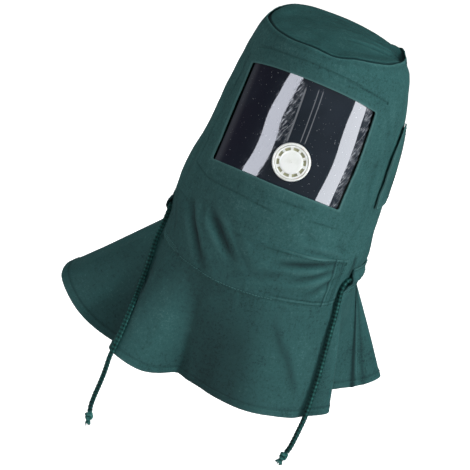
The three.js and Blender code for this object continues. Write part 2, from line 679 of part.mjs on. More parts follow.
function shoulderCape() {
  const hemShare = HEM_WIDTH / CAPE_LENGTH;
  return sheet({
    columns: CAPE_COLUMNS,
    levels: [0, 0.24, 0.48, 0.72, 1 - hemShare, 1 - 0.8 * hemShare, 1],
    ring: true,
    point: (u, v, inner) => {
      const extra = v > 1 - 0.9 * hemShare ? HEM_EXTRA / 2 : 0;
      return onCape(u * 360, v, inner ? -CANVAS - extra : extra);
    },
  });
}

// The free cords' centre lines, from the casing's mouths down over the cape and past its hem
const CORD_RIGHT_POINTS = [
  [109.2, -41.8, -251.3], [107.8, -45.3, -252.1], [106.5, -48.5, -255.3], [105.9, -50.2, -259.8],
  [106, -51, -266], [107, -51.8, -273], [108.3, -53.1, -281.2], [110, -55.7, -292.3],
  [111.9, -60.3, -306.6], [113.9, -64.6, -320.9], [115.9, -68.5, -335.3], [117.9, -72.4, -349.6],
  [119.5, -76.4, -364.1], [120.8, -80.4, -378.5], [122, -85.5, -393], [122.4, -89.6, -407.6],
  [121.6, -90.8, -422.6], [120.3, -90.6, -437.6], [119.4, -90.4, -445.1], [117.6, -90, -452.3],
];
const CORD_LEFT_POINTS = [
  [-114.9, -22.9, -257.1], [-114.1, -27.3, -257.9], [-113.2, -31.9, -261.1], [-112.4, -36.2, -265.6],
  [-111.8, -41.3, -272.4], [-111.5, -48.9, -281], [-110.6, -58.7, -290.6], [-108.9, -66, -301.7],
  [-107.6, -70.5, -313.3], [-106.9, -74.3, -325], [-106, -80.8, -335.4], [-104.4, -90.2, -343.6],
  [-102.5, -100.7, -349.9], [-101.2, -111.4, -357], [-100.1, -119.7, -366], [-99.2, -127, -376.3],
  [-98.9, -133.4, -387.1], [-99.1, -139.3, -398.5], [-99.4, -142.6, -410.5], [-99.2, -142.6, -423],
  [-99.6, -141.6, -435.4], [-100.6, -140.6, -447.8], [-101.7, -139.9, -462], [-102, -139.4, -473.5],
  [-101.1, -139.1, -480.8],
];

const cordPath = (points) => new THREE.CatmullRomCurve3(
  points.map((p) => new THREE.Vector3(...p)), false, "centripetal");

function cordTube(path) {
  const section = new THREE.Shape(Array.from({ length: CORD_SIDES }, (_, k) => {
    const turn = (k / CORD_SIDES) * 2 * Math.PI;
    return new THREE.Vector2((CORD_DIAMETER / 2) * Math.cos(turn), (CORD_DIAMETER / 2) * Math.sin(turn));
  }));
  const steps = Math.round(path.getLength() / (CORD_STEP * CORD_DIAMETER));
  return new THREE.ExtrudeGeometry(section, { steps, bevelEnabled: false, extrudePath: path });
}

// The drawcord inside its casing, round the back from mouth to mouth
function hiddenPath() {
  const BENDS = 30;
  const points = evenLevels(BENDS).map((share) => {
    const angle = lerp(CASING_RIGHT_ANGLE, 360 + CASING_LEFT_ANGLE, share);
    return onBody(angle, casingMiddleZ(angle), cordOut).toArray();
  });
  return cordPath(points);
}

// A knot just past a cord's end, in line with it. Its profile's pairs are shares of its radius and its length
function cordKnot(path) {
  const profile = [[0, 0], [0.56, 0], [0.86, 0.16], [1, 0.42], [0.88, 0.68], [0.55, 0.82], [0.62, 1], [0, 1]];
  const points = profile.map(([across, along]) => new THREE.Vector2(
    across * KNOT_DIAMETER / 2, 2 * GAP + along * KNOT_LENGTH));
  const knot = new THREE.LatheGeometry(points, KNOT_SIDES);
  const turn = new THREE.Quaternion().setFromUnitVectors(new THREE.Vector3(0, 1, 0), path.getTangentAt(1));
  const end = path.getPointAt(1);
  return knot.applyQuaternion(turn).translate(end.x, end.y, end.z);
}

const materials = {};
function finish(name, values) {
  materials[name] ??= new THREE.MeshStandardMaterial(values);
  return materials[name].clone();
}

const hood = new THREE.Group();

function add(name, geometry, kind, values) {
  const mesh = new THREE.Mesh(geometry, finish(kind, values));
  mesh.name = name;
  hood.add(mesh);
}

add("hood_body", bodyTube(), "canvas", CANVAS_FINISH);
add("crown_panel", crownPanel(), "canvas", CANVAS_FINISH);
add("lens_pocket", lensPocket(), "canvas", CANVAS_FINISH);
add("slot_flap", slotFlap(), "canvas", CANVAS_FINISH);
add("lens", lensSheet(), "lens", LENS_FINISH);
add("vent_body", ventBody(), "vent", VENT_FINISH);
add("vent_cap", ventCap(), "vent", VENT_FINISH);
add("vent_ring", ventRing(), "vent", VENT_FINISH);
add("neck_band", neckBand(), "canvas", CANVAS_FINISH);
add("cord_casing", cordCasing(), "canvas", CANVAS_FINISH);
add("cape", shoulderCape(), "canvas", CANVAS_FINISH);

const rightPath = cordPath(CORD_RIGHT_POINTS);
const leftPath = cordPath(CORD_LEFT_POINTS);
add("drawcord_hidden", cordTube(hiddenPath()), "cord", CORD_FINISH);
add("drawcord_right", cordTube(rightPath), "cord", CORD_FINISH);
add("drawcord_left", cordTube(leftPath), "cord", CORD_FINISH);
add("knot_right", cordKnot(rightPath), "cord", CORD_FINISH);
add("knot_left", cordKnot(leftPath), "cord", CORD_FINISH);

export default hood;
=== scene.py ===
"""A sandblasting hood of green canvas: a tube with a window and a valve, a neck band, a drawcord and a cape.

Lengths are in mm and angles in degrees round the hood, from -Y towards +X, unless a comment says otherwise.
"""
import math

import bmesh
import bpy
import numpy as np
from mathutils import Matrix, Vector


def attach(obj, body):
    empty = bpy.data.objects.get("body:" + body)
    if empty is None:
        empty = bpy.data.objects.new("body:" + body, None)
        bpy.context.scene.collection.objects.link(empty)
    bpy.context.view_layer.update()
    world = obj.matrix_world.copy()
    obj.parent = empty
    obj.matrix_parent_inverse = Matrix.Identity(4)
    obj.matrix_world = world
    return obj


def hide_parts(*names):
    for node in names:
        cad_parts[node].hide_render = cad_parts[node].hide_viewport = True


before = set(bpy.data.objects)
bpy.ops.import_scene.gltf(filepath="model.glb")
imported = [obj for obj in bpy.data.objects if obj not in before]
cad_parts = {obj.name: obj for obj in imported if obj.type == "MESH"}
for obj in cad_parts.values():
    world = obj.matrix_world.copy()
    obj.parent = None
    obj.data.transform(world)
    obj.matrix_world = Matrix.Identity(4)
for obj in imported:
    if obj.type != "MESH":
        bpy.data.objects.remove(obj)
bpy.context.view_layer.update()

MM = 0.001
# How many mm of cloth a radian round the hood counts as
CLOTH_RADIUS = 110
NECK_CLOTH_RADIUS = 118
CAPE_GATHER_RADIUS = 125

# Sizes, as the solids have them
CANVAS = 1.6
GAP = 0.3
LAYER_GAP = 0.7
CROWN_SEAM_Z = -15.0
CROWN_SEAM_RISE = 11.2
CROWN_LIP = 2.5
CROWN_FLANGE = 9.0
BODY_DROP = 272.0
NECK_HALF_WIDTH = 120.0
NECK_FRONT = 118.0
NECK_BACK = 122.0
DENT_DEPTH = 4.0
WINDOW_WIDTH = 167.0
WINDOW_HEIGHT = 118.0
WINDOW_TOP_Z = CROWN_SEAM_Z - 29.0
WINDOW_BOTTOM_Z = WINDOW_TOP_Z - WINDOW_HEIGHT
WINDOW_TOP_ARCH = 13.0
WINDOW_BOTTOM_ARCH = 8.0
LENS_THICKNESS = 1.0
LENS_SIDE = 20.0
LENS_TOP = 9.0
LENS_BOTTOM = 20.0
POCKET_MARGIN = 9.0
SLOT_ANGLE = 86.0
FLAP_FRONT_ANGLE = 73.5
FLAP_WIDTH = 44.0
FLAP_TOP_Z = CROWN_SEAM_Z - 59.0
FLAP_HEIGHT = 92.0
FLAP_LIFT = 2.6
FLAP_CORNER_CUT = 20.0
VENT_RADIUS = 21.0
VENT_BORE_RADIUS = 12.5
VENT_BARREL_WALL = 2.0
VENT_FRONT_HEIGHT = 5.2
VENT_BARREL_DEPTH = 9.0
VENT_SIDE_OFFSET = 11.0
VENT_Z = CROWN_SEAM_Z - 118.0
VENT_SLOTS = 10
VENT_RING_RADIUS = 19.5
VENT_RING_HEIGHT = 5.0
BAND_HEIGHT = 62.0
BAND_LEFT = -66.0
BAND_RIGHT = 60.0
CASING_HEIGHT = 28.0
CASING_MOUTH_RISE = 6.0
CASING_LEFT = -79.0
CASING_RIGHT = 69.5
CORD_DIAMETER = 5.0
CORD_CLEARANCE = 0.4
CAPE_LENGTH = 131.0
HEM_WIDTH = 9.0
HEM_EXTRA = 1.0
BAND_TOP_Z = CROWN_SEAM_Z - BODY_DROP + BAND_HEIGHT

# The body's levels: share of BODY_DROP down, then the side, front and back radii and the side shift,
# as shares of NECK_HALF_WIDTH, NECK_FRONT, NECK_BACK and NECK_HALF_WIDTH
SECTIONS = np.array([
    (-0.06, 0.65, 0.742, 0.762, -0.031),
    (-0.02, 0.675, 0.76, 0.78, -0.03),
    (0, 0.695, 0.775, 0.795, -0.028),
    (0.03, 0.735, 0.8, 0.82, -0.016),
    (0.1, 0.775, 0.832, 0.855, -0.01),
    (0.2, 0.82, 0.858, 0.885, 0),
    (0.33, 0.868, 0.88, 0.915, 0.004),
    (0.52, 0.908, 0.935, 0.95, -0.006),
    (0.7, 0.955, 0.972, 0.98, -0.018),
    (0.8, 0.97, 0.988, 0.975, -0.008),
    (0.89, 0.945, 0.994, 0.945, -0.004),
    (1, 0.96, 1, 0.955, -0.004),
])

# Low folds of the body. From and to: angle and share down; then width in degrees and share of DENT_DEPTH
DENTS = [
    (-47, 0.74, -20, 0.97, 5.5, -0.85),
    (-38, 0.76, -11, 0.99, 5.5, 0.75),
    (-30, 0.73, -5, 0.9, 6, -0.85),
    (-56, 0.78, -31, 1, 6, 0.45),
    (2, 0.8, 12, 0.93, 9, 0.4),
    (51, 0.78, 16, 0.86, 5, -0.65),
    (50, 0.745, 26, 0.775, 5.5, 0.45),
    (50, 0.86, 26, 0.93, 7, 0.5),
    (62, 0.03, 84, 0.13, 11, 0.75),
    (-60, 0.03, -88, 0.1, 11, -0.25),
    (150, 0.1, 165, 0.5, 14, -0.8),
    (-160, 0.25, -140, 0.75, 14, 0.7),
    (178, 0.6, 200, 0.9, 14, -0.8),
]
# how many degrees the whole drop counts as
DEGREES_PER_DROP = 130

# The seams: angle, and rise as a share of CROWN_SEAM_RISE or of BAND_HEIGHT
CROWN_SEAM = np.array([
    (-180, 0.67), (-160, 0.84), (-140, 1), (-125, 0.94), (-108, 0.69), (-92, 0.27), (-75, 0.04),
    (-53, -0.09), (-40, -0.18), (-24, -0.16), (-5, 0.04), (9, -0.09), (27, 0.31), (57, 0.4),
    (71, 0.54), (90, 0.58), (110, 0.57), (128, 0.72), (143, 0.27), (160, 0.46),
], dtype=float)

NECK_SEAM = np.array([
    (-180, 0.26), (-120, 0.24), (-88, 0.19), (-64, 0.07), (-38, 0.03), (-5, -0.01),
    (17, 0.02), (36, 0.05), (54, 0.07), (73, 0.24), (87, 0.26), (120, 0.25),
])

# The cape's folds: angle at the neck seam and at the hem, and lean in degrees
CAPE_FOLDS = np.array([
    (-176, -178, 26), (-158, -160, 12), (-140, -141, 28), (-122, -124, 13), (-104, -106, 24),
    (-90, -90, 42), (-78, -80, 46), (-72, -70, 47), (-64, -60, 36), (-56, -49.5, 12),
    (-44, -37, 23.5), (-31, -26, 14), (-16, -17, -9), (-6, -6, -9.5), (9, 10, -5),
    (25, 27, 5), (42, 42, 10), (60, 54, 13.5), (70, 62.5, 22), (78, 73, 6),
    (88, 88, 4), (97, 98, 12), (106, 109, 34), (118, 122, 25), (134, 138, 11),
    (152, 156, 26), (168, 170, 15),
], dtype=float)

# The drawcord's free ends, from mouth to knot: x, y and z
CORD_RIGHT_POINTS = [
    (109.2, -41.8, -251.3), (107.8, -45.3, -252.1), (106.5, -48.5, -255.3), (105.9, -50.2, -259.8),
    (106, -51, -266), (107, -51.8, -273), (108.3, -53.1, -281.2), (110, -55.7, -292.3),
    (111.9, -60.3, -306.6), (113.9, -64.6, -320.9), (115.9, -68.5, -335.3), (117.9, -72.4, -349.6),
    (119.5, -76.4, -364.1), (120.8, -80.4, -378.5), (122, -85.5, -393), (122.4, -89.6, -407.6),
    (121.6, -90.8, -422.6), (120.3, -90.6, -437.6), (119.4, -90.4, -445.1), (117.6, -90, -452.3),
]
CORD_LEFT_POINTS = [
    (-114.9, -22.9, -257.1), (-114.1, -27.3, -257.9), (-113.2, -31.9, -261.1), (-112.4, -36.2, -265.6),
    (-111.8, -41.3, -272.4), (-111.5, -48.9, -281), (-110.6, -58.7, -290.6), (-108.9, -66, -301.7),
    (-107.6, -70.5, -313.3), (-106.9, -74.3, -325), (-106, -80.8, -335.4), (-104.4, -90.2, -343.6),
    (-102.5, -100.7, -349.9), (-101.2, -111.4, -357), (-100.1, -119.7, -366), (-99.2, -127, -376.3),
    (-98.9, -133.4, -387.1), (-99.1, -139.3, -398.5), (-99.4, -142.6, -410.5), (-99.2, -142.6, -423),
    (-99.6, -141.6, -435.4), (-100.6, -140.6, -447.8), (-101.7, -139.9, -462), (-102, -139.4, -473.5),
    (-101.1, -139.1, -480.8),
]

# The photo's camera, in metres and radians
CAMERA_AZIMUTH = math.radians(8.0)
CAMERA_AWAY = 2.0
CAMERA_HEIGHT = 0.389
CAMERA_SIDE = -0.036
CAMERA_AIM_Z = -0.267
CAMERA_ROLL = math.radians(20.0)
CAMERA_LENS = 140.2


def make_camera():
    data = bpy.data.cameras.new("camera")
    data.lens = CAMERA_LENS
    data.sensor_width = 36.0
    data.clip_end = 50.0
    camera = bpy.data.objects.new("camera", data)
    bpy.context.scene.collection.objects.link(camera)
    c, s = math.cos(CAMERA_AZIMUTH), math.sin(CAMERA_AZIMUTH)
    place = Vector((s * CAMERA_AWAY, -c * CAMERA_AWAY, CAMERA_HEIGHT))
    aim = Vector((c * CAMERA_SIDE, s * CAMERA_SIDE, CAMERA_AIM_Z))
    turn = (aim - place).to_track_quat("-Z", "Y").to_matrix() @ Matrix.Rotation(CAMERA_ROLL, 3, "Z")
    camera.matrix_world = Matrix.Translation(place) @ turn.to_4x4()
    bpy.context.scene.camera = camera


make_camera()


def table_curve(rows, x_column, y_column, period=None):
    """A monotone cubic through two columns of a table, periodic if a period is given."""
    xs = rows[:, x_column]
    ys = rows[:, y_column]
    start = xs[0]
    if period:
        xs = np.concatenate([xs[-3:] - period, xs, xs[:3] + period])
        ys = np.concatenate([ys[-3:], ys, ys[:3]])
    step = np.diff(xs)
    slope = np.diff(ys) / step
    tangent = np.zeros(len(xs))
    tangent[0], tangent[-1] = slope[0], slope[-1]
    for i in range(1, len(xs) - 1):
        if slope[i - 1] * slope[i] > 0:
            left = 2 * step[i] + step[i - 1]
            right = step[i] + 2 * step[i - 1]
            tangent[i] = (left + right) / (left / slope[i - 1] + right / slope[i])

    def curve(value):
        x = np.asarray(value, float)
        if period:
            x = (x - start) % period + start
        k = np.clip(np.searchsorted(xs, x, side="right") - 1, 0, len(xs) - 2)
        t = np.clip((x - xs[k]) / step[k], 0, 1)
        early = ys[k] * (1 + 2 * t) * (1 - t) ** 2 + tangent[k] * step[k] * t * (1 - t) ** 2
        late = ys[k + 1] * t * t * (3 - 2 * t) + tangent[k + 1] * step[k] * t * t * (t - 1)
        return early + late

    return curve


side_share = table_curve(SECTIONS, 0, 1)
front_share = table_curve(SECTIONS, 0, 2)
back_share = table_curve(SECTIONS, 0, 3)
shift_share = table_curve(SECTIONS, 0, 4)
crown_rise = table_curve(CROWN_SEAM, 0, 1, 360)
neck_rise = table_curve(NECK_SEAM.astype(float), 0, 1, 360)
fold_lean = table_curve(CAPE_FOLDS, 1, 2, 360)
FOLD_TWISTS = np.stack([CAPE_FOLDS[:, 1], CAPE_FOLDS[:, 1] - CAPE_FOLDS[:, 0]], axis=1)
fold_twist = table_curve(FOLD_TWISTS, 0, 1, 360)


def wrapped(angle):
    return (np.asarray(angle, float) + 180) % 360 - 180


def smoothstep(low, high, x):
    t = np.clip((x - low) / (high - low), 0, 1)
    return t * t * (3 - 2 * t)


def hill(x):
    """1 at 0, and falling to about 0 at 2 on both sides."""
    return np.exp(-np.square(x))


def taper(t, end):
    """1 in the middle of a line that t runs along, and small at its ends."""
    return np.sin(np.pi * (end + (1 - 2 * end) * t))


def marks(*rows):
    """A sum of soft lines: each row has the distance from the line, its half width and its strength."""
    return sum(strength * hill(apart / width) for apart, width, strength in rows)


def from_segment(x, y, ax, ay, bx, by):
    """Distance to a line from a to b, and how far along it the nearest point is, 0 to 1."""
    ux, uy = bx - ax, by - ay
    t = np.clip(((x - ax) * ux + (y - ay) * uy) / (ux * ux + uy * uy), 0, 1)
    return np.hypot(x - ax - t * ux, y - ay - t * uy), t


def from_line(angle, y, a0, y0, a1, y1, per_degree, per_y=1.0):
    """from_segment on unrolled cloth, where a degree and a unit of y measure per_degree and per_y."""
    return from_segment(wrapped(angle - a0) * per_degree, (y - y0) * per_y, 0, 0,
                        wrapped(a1 - a0) * per_degree, (y1 - y0) * per_y)


# The surfaces of the solids
def dent_rise(angle, down):
    total = np.zeros(np.broadcast(angle, down).shape)
    for *line, width, rise in DENTS:
        apart, t = from_line(angle, down, *line, 1, DEGREES_PER_DROP)
        total = total + rise * hill(apart / width) * taper(t, 0.12)
    return total * DENT_DEPTH


def body_radius(angle, z):
    down = (CROWN_SEAM_Z - z) / BODY_DROP
    turn = np.radians(angle)
    side = side_share(down) * NECK_HALF_WIDTH
    depth = np.where(np.cos(turn) > 0, front_share(down) * NECK_FRONT, back_share(down) * NECK_BACK)
    return 1 / np.hypot(np.sin(turn) / side, np.cos(turn) / depth) + dent_rise(angle, down)


def on_body(angle, z, out=0.0):
    angle = np.asarray(angle, float)
    z = np.asarray(z, float)
    radius = body_radius(angle, z) + out
    shift = shift_share((CROWN_SEAM_Z - z) / BODY_DROP) * NECK_HALF_WIDTH
    turn = np.radians(angle)
    return np.stack([shift + radius * np.sin(turn), -radius * np.cos(turn), z + 0 * radius], -1)


def crown_seam_z(angle):
    return CROWN_SEAM_Z + CROWN_SEAM_RISE * crown_rise(angle)


def neck_seam_z(angle):
    return CROWN_SEAM_Z - BODY_DROP + BAND_HEIGHT * neck_rise(angle)


def on_cape(hem_angle, t, out=0.0):
    twist = fold_twist(hem_angle)
    neck_angle = hem_angle - twist
    top_z = neck_seam_z(neck_angle) - LAYER_GAP
    neck_radius = body_radius(neck_angle, top_z)
    shift = shift_share((CROWN_SEAM_Z - top_z) / BODY_DROP) * NECK_HALF_WIDTH
    turn = np.radians(neck_angle + twist * t)
    lean = np.radians(fold_lean(hem_angle))
    radius = neck_radius + CAPE_LENGTH * t * np.sin(lean) + out * np.cos(lean)
    z = top_z - CAPE_LENGTH * t * np.cos(lean) + out * np.sin(lean) * t
    return np.stack([shift + radius * np.sin(turn), -radius * np.cos(turn), z], -1)


def degrees_per_mm(z):
    return np.degrees(1 / body_radius(np.zeros_like(np.asarray(z, float)), z))


def casing_middle_z(angle):
    near = np.minimum(np.abs(wrapped(angle - CASING_RIGHT)), np.abs(wrapped(angle - CASING_LEFT)))
    return neck_seam_z(angle) + CASING_HEIGHT / 2 + LAYER_GAP + CASING_MOUTH_RISE * hill(near / 30)


# What the fine cloth adds to them
CINCH_DEPTH = 3.4
CINCH_HEIGHT = 12


def cinch(angle, z):
    """How far the pulled cord draws the cloth in under its casing."""
    past_right = (np.asarray(angle, float) - CASING_RIGHT) % 360
    past_left = (CASING_LEFT - np.asarray(angle, float)) % 360
    behind = past_right < (CASING_LEFT - CASING_RIGHT) % 360
    share = np.where(behind, smoothstep(0, 20, np.minimum(past_right, past_left)), 0)
    return CINCH_DEPTH * share * hill((z - casing_middle_z(angle)) / CINCH_HEIGHT)


# Low waves that canvas keeps: waves per turn, waves per metre of height, phase and height
SOFT_WAVES = [
    (3, 5, 0.4, 0.5), (5, -4, 2.1, 0.45), (7, 9, 4.0, 0.3), (11, -13, 1.2, 0.2),
    (16, 21, 5.1, 0.14), (23, -17, 3.3, 0.1), (31, 38, 0.9, 0.07), (43, -52, 2.7, 0.05),
]


def soft_waves(angle, z):
    return sum(height * np.sin(np.radians(angle) * around + math.tau * upward * z * MM + phase)
               for around, upward, phase, height in SOFT_WAVES)


# Creases of the body and band. From and to: angle and height; then width and depth
BODY_CREASES = [
    (-46, -224, -20, -279, 4.6, 3.3),
    (-30, -216, -4.5, -256, 5.0, 3.4),
    (-36, -212, -30, -232, 4.0, 1.2),
    (-12, -226, 6, -262, 5.0, 0.9),
    (55, -229, 16, -245, 4.0, 3.3),
    (52, -224, 30, -220, 3.0, 1.5),
    (56, -235, 26, -260, 4.0, 2.6),
    (57, -243, 38, -274, 4.0, 1.8),
    (30, -250, 4, -266, 6.0, 1.2),
    (50, -206, 58, -220, 4.0, 0.8),
    (-58, -232, -50, -268, 4.0, 0.8),
    (24, -196, 40, -216, 5.0, 0.5),
    (-60, -44, -52, -96, 4.0, 0.5),
    (58, -50, 66, -92, 4.5, 0.7),
    (60, -100, 64, -168, 5.0, 0.8),
    (66, -172, 58, -214, 5.0, 0.7),
    (-64, -150, -60, -214, 5.0, 0.7),
    (118, -60, 104, -130, 6.0, 1.0),
    (136, -150, 120, -232, 7.0, 1.2),
    (176, -40, 168, -120, 7.0, 1.0),
    (-172, -140, 172, -226, 7.0, 1.3),
    (-132, -70, -142, -150, 7.0, 1.1),
    (-104, -120, -118, -214, 7.0, 1.2),
    (-88, -60, -96, -108, 6.0, 0.8),
]
CREASE_STRETCH = 2.0


def body_creases(angle, z):
    """Sharp valleys, each inside a low swell."""
    total = 0
    for *line, width, depth in BODY_CREASES:
        apart, t = from_line(angle, z, *line, CREASE_STRETCH)
        valley = np.exp(-np.sqrt(apart ** 2 + 0.6) / width * 1.4)
        total = total + depth * taper(t, 0.08) * (0.45 * hill(apart / width - 1.9) - valley)
    return total


def crease_shade(angle, z):
    """Painted shade in the valleys of the creases, and painted highlight beside them."""
    total = 0
    for *line, width, depth in BODY_CREASES:
        apart, t = from_line(angle, z, *line, CREASE_STRETCH)
        tone = marks((apart, 0.8 * width, 0.24), (apart / width - 1.9, 1, -0.09))
        total = total + depth * taper(t, 0.05) * tone
    return np.clip(total, -0.3, 0.7)


def pucker(along, apart, reach, height, pitch=11.0):
    """Gathers that stand across a seam: along it and apart from it."""
    bend = 5 * np.sin(along / 41 + 0.7) + 3 * np.sin(along / 17.3)
    wave = np.sin(math.tau * (along + bend) / pitch)
    wave = wave + 0.6 * np.sin(math.tau * (along - bend) / (pitch * 0.61) + 1.3)
    patchy = 0.55 + 0.45 * np.sin(along / 27 + 2.1) * np.sin(along / 11.7)
    return height * wave * patchy * hill(apart / reach)


def window_top_z(s):
    return WINDOW_TOP_Z - WINDOW_TOP_ARCH * (s / (WINDOW_WIDTH / 2)) ** 2


def window_bottom_z(s):
    return WINDOW_BOTTOM_Z - WINDOW_BOTTOM_ARCH * (s / (WINDOW_WIDTH / 2)) ** 2


def window_offset(angle, z):
    """Distance outward from the window's edge, in mm along the cloth, below 0 inside it."""
    s = angle / degrees_per_mm(z)
    held = np.clip(s, -WINDOW_WIDTH / 2, WINDOW_WIDTH / 2)
    dx = np.abs(s) - WINDOW_WIDTH / 2
    dz = np.maximum(z - window_top_z(held), window_bottom_z(held) - z)
    outside = np.hypot(np.maximum(dx, 0), np.maximum(dz, 0))
    return outside + np.minimum(np.maximum(dx, dz), 0)


# Sewn lines of the body, painted dark with the shade of their grooves: pairs of angle and height
BODY_SEAMS = [
    [(-48.6, -36), (-25, -30), (-2.5, -26), (14, -29), (31.4, -34), (44, -39.5), (56.1, -45)],
    [(-55, -186), (-38.4, -190), (-12.4, -187), (6.6, -190)],
    [(6.6, -176), (25, -177)],
    [(28.5, -188), (45.1, -191)],
    [(-55.5, -50), (-57, -110), (-56, -186)],
    [(180, -14), (180, -262)],
]
SEAM_STRETCH = 1.9


def seam_lines(angle, z, width):
    """How near the cloth is to those lines: 1 on one, 0 a few widths away."""
    apart = np.full(np.broadcast(angle, z).shape, 1e3)
    for seam in BODY_SEAMS:
        for start, end in zip(seam, seam[1:]):
            apart = np.minimum(apart, from_line(angle, z, *start, *end, SEAM_STRETCH)[0])
    return hill(apart / width)


def body_detail(angle, z):
    """How far the body's face stands out from the smooth surface."""
    along = np.radians(angle) * 105
    edge = window_offset(angle, z)
    hem = smoothstep(9.5, 7.5, edge) * smoothstep(-2, 0.2, edge)
    total = soft_waves(angle, z) + body_creases(angle, z) + 0.25 * hem
    total = total + pucker(along, z - crown_seam_z(angle) + 3, 9, 0.3)
    total = total + pucker(along, z - neck_seam_z(angle) - 3, 10, 0.28, 13)
    total = total + pucker(along + z, edge - 9, 6, 0.1, 8)
    return total - 0.3 * seam_lines(angle, z, 1.5) - cinch(angle, z)


# Meshes
def link(name, verts, faces, uvs=None, wear_and_painted_light=None, sharp_degrees=50):
    """A mesh object. It has a uv pair for each corner of a face, and for each point a value of wear and of
    painted light and shade.
    """
    mesh = bpy.data.meshes.new(name)
    mesh.from_pydata([tuple(v) for v in np.asarray(verts, float) * MM], [],
                     [tuple(int(i) for i in f) for f in faces])
    if uvs is not None:
        layer = mesh.uv_layers.new(name="cloth")
        layer.data.foreach_set("uv", (np.asarray(uvs, float) * MM).astype(np.float32).ravel())
    if wear_and_painted_light is not None:
        attribute = mesh.attributes.new("wear_and_painted_light", "FLOAT", "POINT")
        attribute.data.foreach_set("value", np.asarray(wear_and_painted_light, np.float32).ravel())
    mesh.polygons.foreach_set("use_smooth", [True] * len(mesh.polygons))
    mesh.set_sharp_from_angle(angle=math.radians(sharp_degrees))
    mesh.update()
    piece = bpy.data.objects.new(name, mesh)
    bpy.context.scene.collection.objects.link(piece)
    return piece


def sheet_mesh(name, outer, inner, uv, ring=False, holes=None, wear_and_painted_light=None, sharp_degrees=50):
    """A cloth with two faces and a rim, from grids of points (columns, rows, 3).

    ring joins the last column to the first. holes is true for each cell left open.
    """
    columns, rows = outer.shape[:2]
    count = columns * rows
    index = np.arange(count).reshape(columns, rows)
    i, j = np.meshgrid(np.arange(columns if ring else columns - 1), np.arange(rows - 1), indexing="ij")
    if holes is not None:
        i, j = i[~holes], j[~holes]
    i, j = i.ravel(), j.ravel()
    n = (i + 1) % columns
    corners = np.stack([index[i, j], index[i, j + 1], index[n, j + 1], index[n, j]], 1)
    step = np.array([uv[-1, 0, 0] - uv[-2, 0, 0], 0.0])
    closing = (i + 1 >= columns)[:, None]
    next_uv = [np.where(closing, uv[i, row] + step, uv[n, row]) for row in (j + 1, j)]
    corner_uvs = np.stack([uv[i, j], uv[i, j + 1], *next_uv], 1)
    edges = {}
    for k in range(4):
        m = (k + 1) % 4
        starts, ends = corners[:, k].tolist(), corners[:, m].tolist()
        for p, q, up, uq in zip(starts, ends, corner_uvs[:, k], corner_uvs[:, m]):
            if (q, p) in edges:
                del edges[(q, p)]
            else:
                edges[(p, q)] = (up, uq)
    reverse = [0, 3, 2, 1]
    faces = [corners, corners[:, reverse] + count]
    uvs = [corner_uvs, corner_uvs[:, reverse]]
    if edges:
        faces.append(np.array([(q, p, p + count, q + count) for p, q in edges]))
        uvs.append(np.array([(uq, up, up, uq) for up, uq in edges.values()]))
    faces = np.concatenate(faces)
    points = np.concatenate([outer.reshape(-1, 3), inner.reshape(-1, 3)])
    used = np.zeros(len(points), bool)
    used[faces.ravel()] = True
    wear_and_painted_light = np.zeros(count) if wear_and_painted_light is None else wear_and_painted_light.ravel()
    return link(name, points[used], (np.cumsum(used) - 1)[faces], np.concatenate(uvs),
                np.concatenate([wear_and_painted_light, wear_and_painted_light])[used], sharp_degrees)


def along_normals(grid, distance, ring=False):
    """A grid moved along its own normals: inward where columns run round the hood and rows run down."""
    if ring:
        across = np.roll(grid, -1, axis=0) - np.roll(grid, 1, axis=0)
    else:
        across = np.gradient(grid, axis=0)
    normal = np.cross(across, np.gradient(grid, axis=1))
    normal /= np.linalg.norm(normal, axis=-1, keepdims=True)
    return grid + normal * np.asarray(distance, float)[..., None]


def unit(vector):
    return vector / np.linalg.norm(vector)


def tube_rings(path, radius, sides):
    """Rings of points round a path, without spin. radius is a number or f(angle grid, length grid)."""
    path = np.asarray(path, float)
    tangent = np.gradient(path, axis=0)
    tangent /= np.linalg.norm(tangent, axis=1, keepdims=True)
    first = np.cross(tangent[0], [0.0, 0.0, 1.0])
    if np.linalg.norm(first) < 0.1:
        first = np.cross(tangent[0], [0.0, 1.0, 0.0])
    frames = [unit(first)]
    for t in tangent[1:]:
        frames.append(unit(frames[-1] - t * (frames[-1] @ t)))
    side = np.array(frames)
    up = np.cross(tangent, side)
    length = lengths_along(path)
    angle, at = np.meshgrid(np.arange(sides) / sides * math.tau, length)
    r = radius(angle, at) if callable(radius) else np.full(angle.shape, radius)
    around = np.cos(angle)[..., None] * side[:, None] + np.sin(angle)[..., None] * up[:, None]
    return path[:, None] + r[..., None] * around, length


class Pile:
    """Collects closed tubes into one mesh."""

    def __init__(self):
        self.points, self.faces, self.uvs, self.count = [], [], [], 0

    def tube(self, path, radius, sides):
        rings, length = tube_rings(path, radius, sides)
        arc = math.pi * CORD_DIAMETER / sides
        faces = []
        for k, (here, there) in enumerate(zip(length, length[1:])):
            for i in range(sides):
                low, n = k * sides, (i + 1) % sides
                faces.append((low + i, low + n, low + sides + n, low + sides + i))
                self.uvs += [(i * arc, here), ((i + 1) * arc, here), ((i + 1) * arc, there), (i * arc, there)]
        last = (len(rings) - 1) * sides
        faces += [tuple(range(sides - 1, -1, -1)), tuple(range(last, last + sides))]
        self.uvs += [(i * arc, length[0]) for i in range(sides - 1, -1, -1)]
        self.uvs += [(i * arc, length[-1]) for i in range(sides)]
        self.faces += [tuple(i + self.count for i in f) for f in faces]
        self.points.append(rings.reshape(-1, 3))
        self.count += len(rings) * sides

    def build(self, name, sharp_degrees):
        points = np.concatenate(self.points)
        return link(name, points, self.faces, self.uvs, np.zeros(len(points)), sharp_degrees)


def lengths_along(line):
    return np.concatenate([[0], np.cumsum(np.linalg.norm(np.diff(line, axis=0), axis=1))])


def at_lengths(line, at):
    length = lengths_along(line)
    return np.stack([np.interp(at, length, line[:, k]) for k in range(3)], -1)


def even_steps(line, spacing):
    total = lengths_along(line)[-1]
    return at_lengths(line, np.linspace(0, total, max(2, int(round(total / spacing)) + 1)))


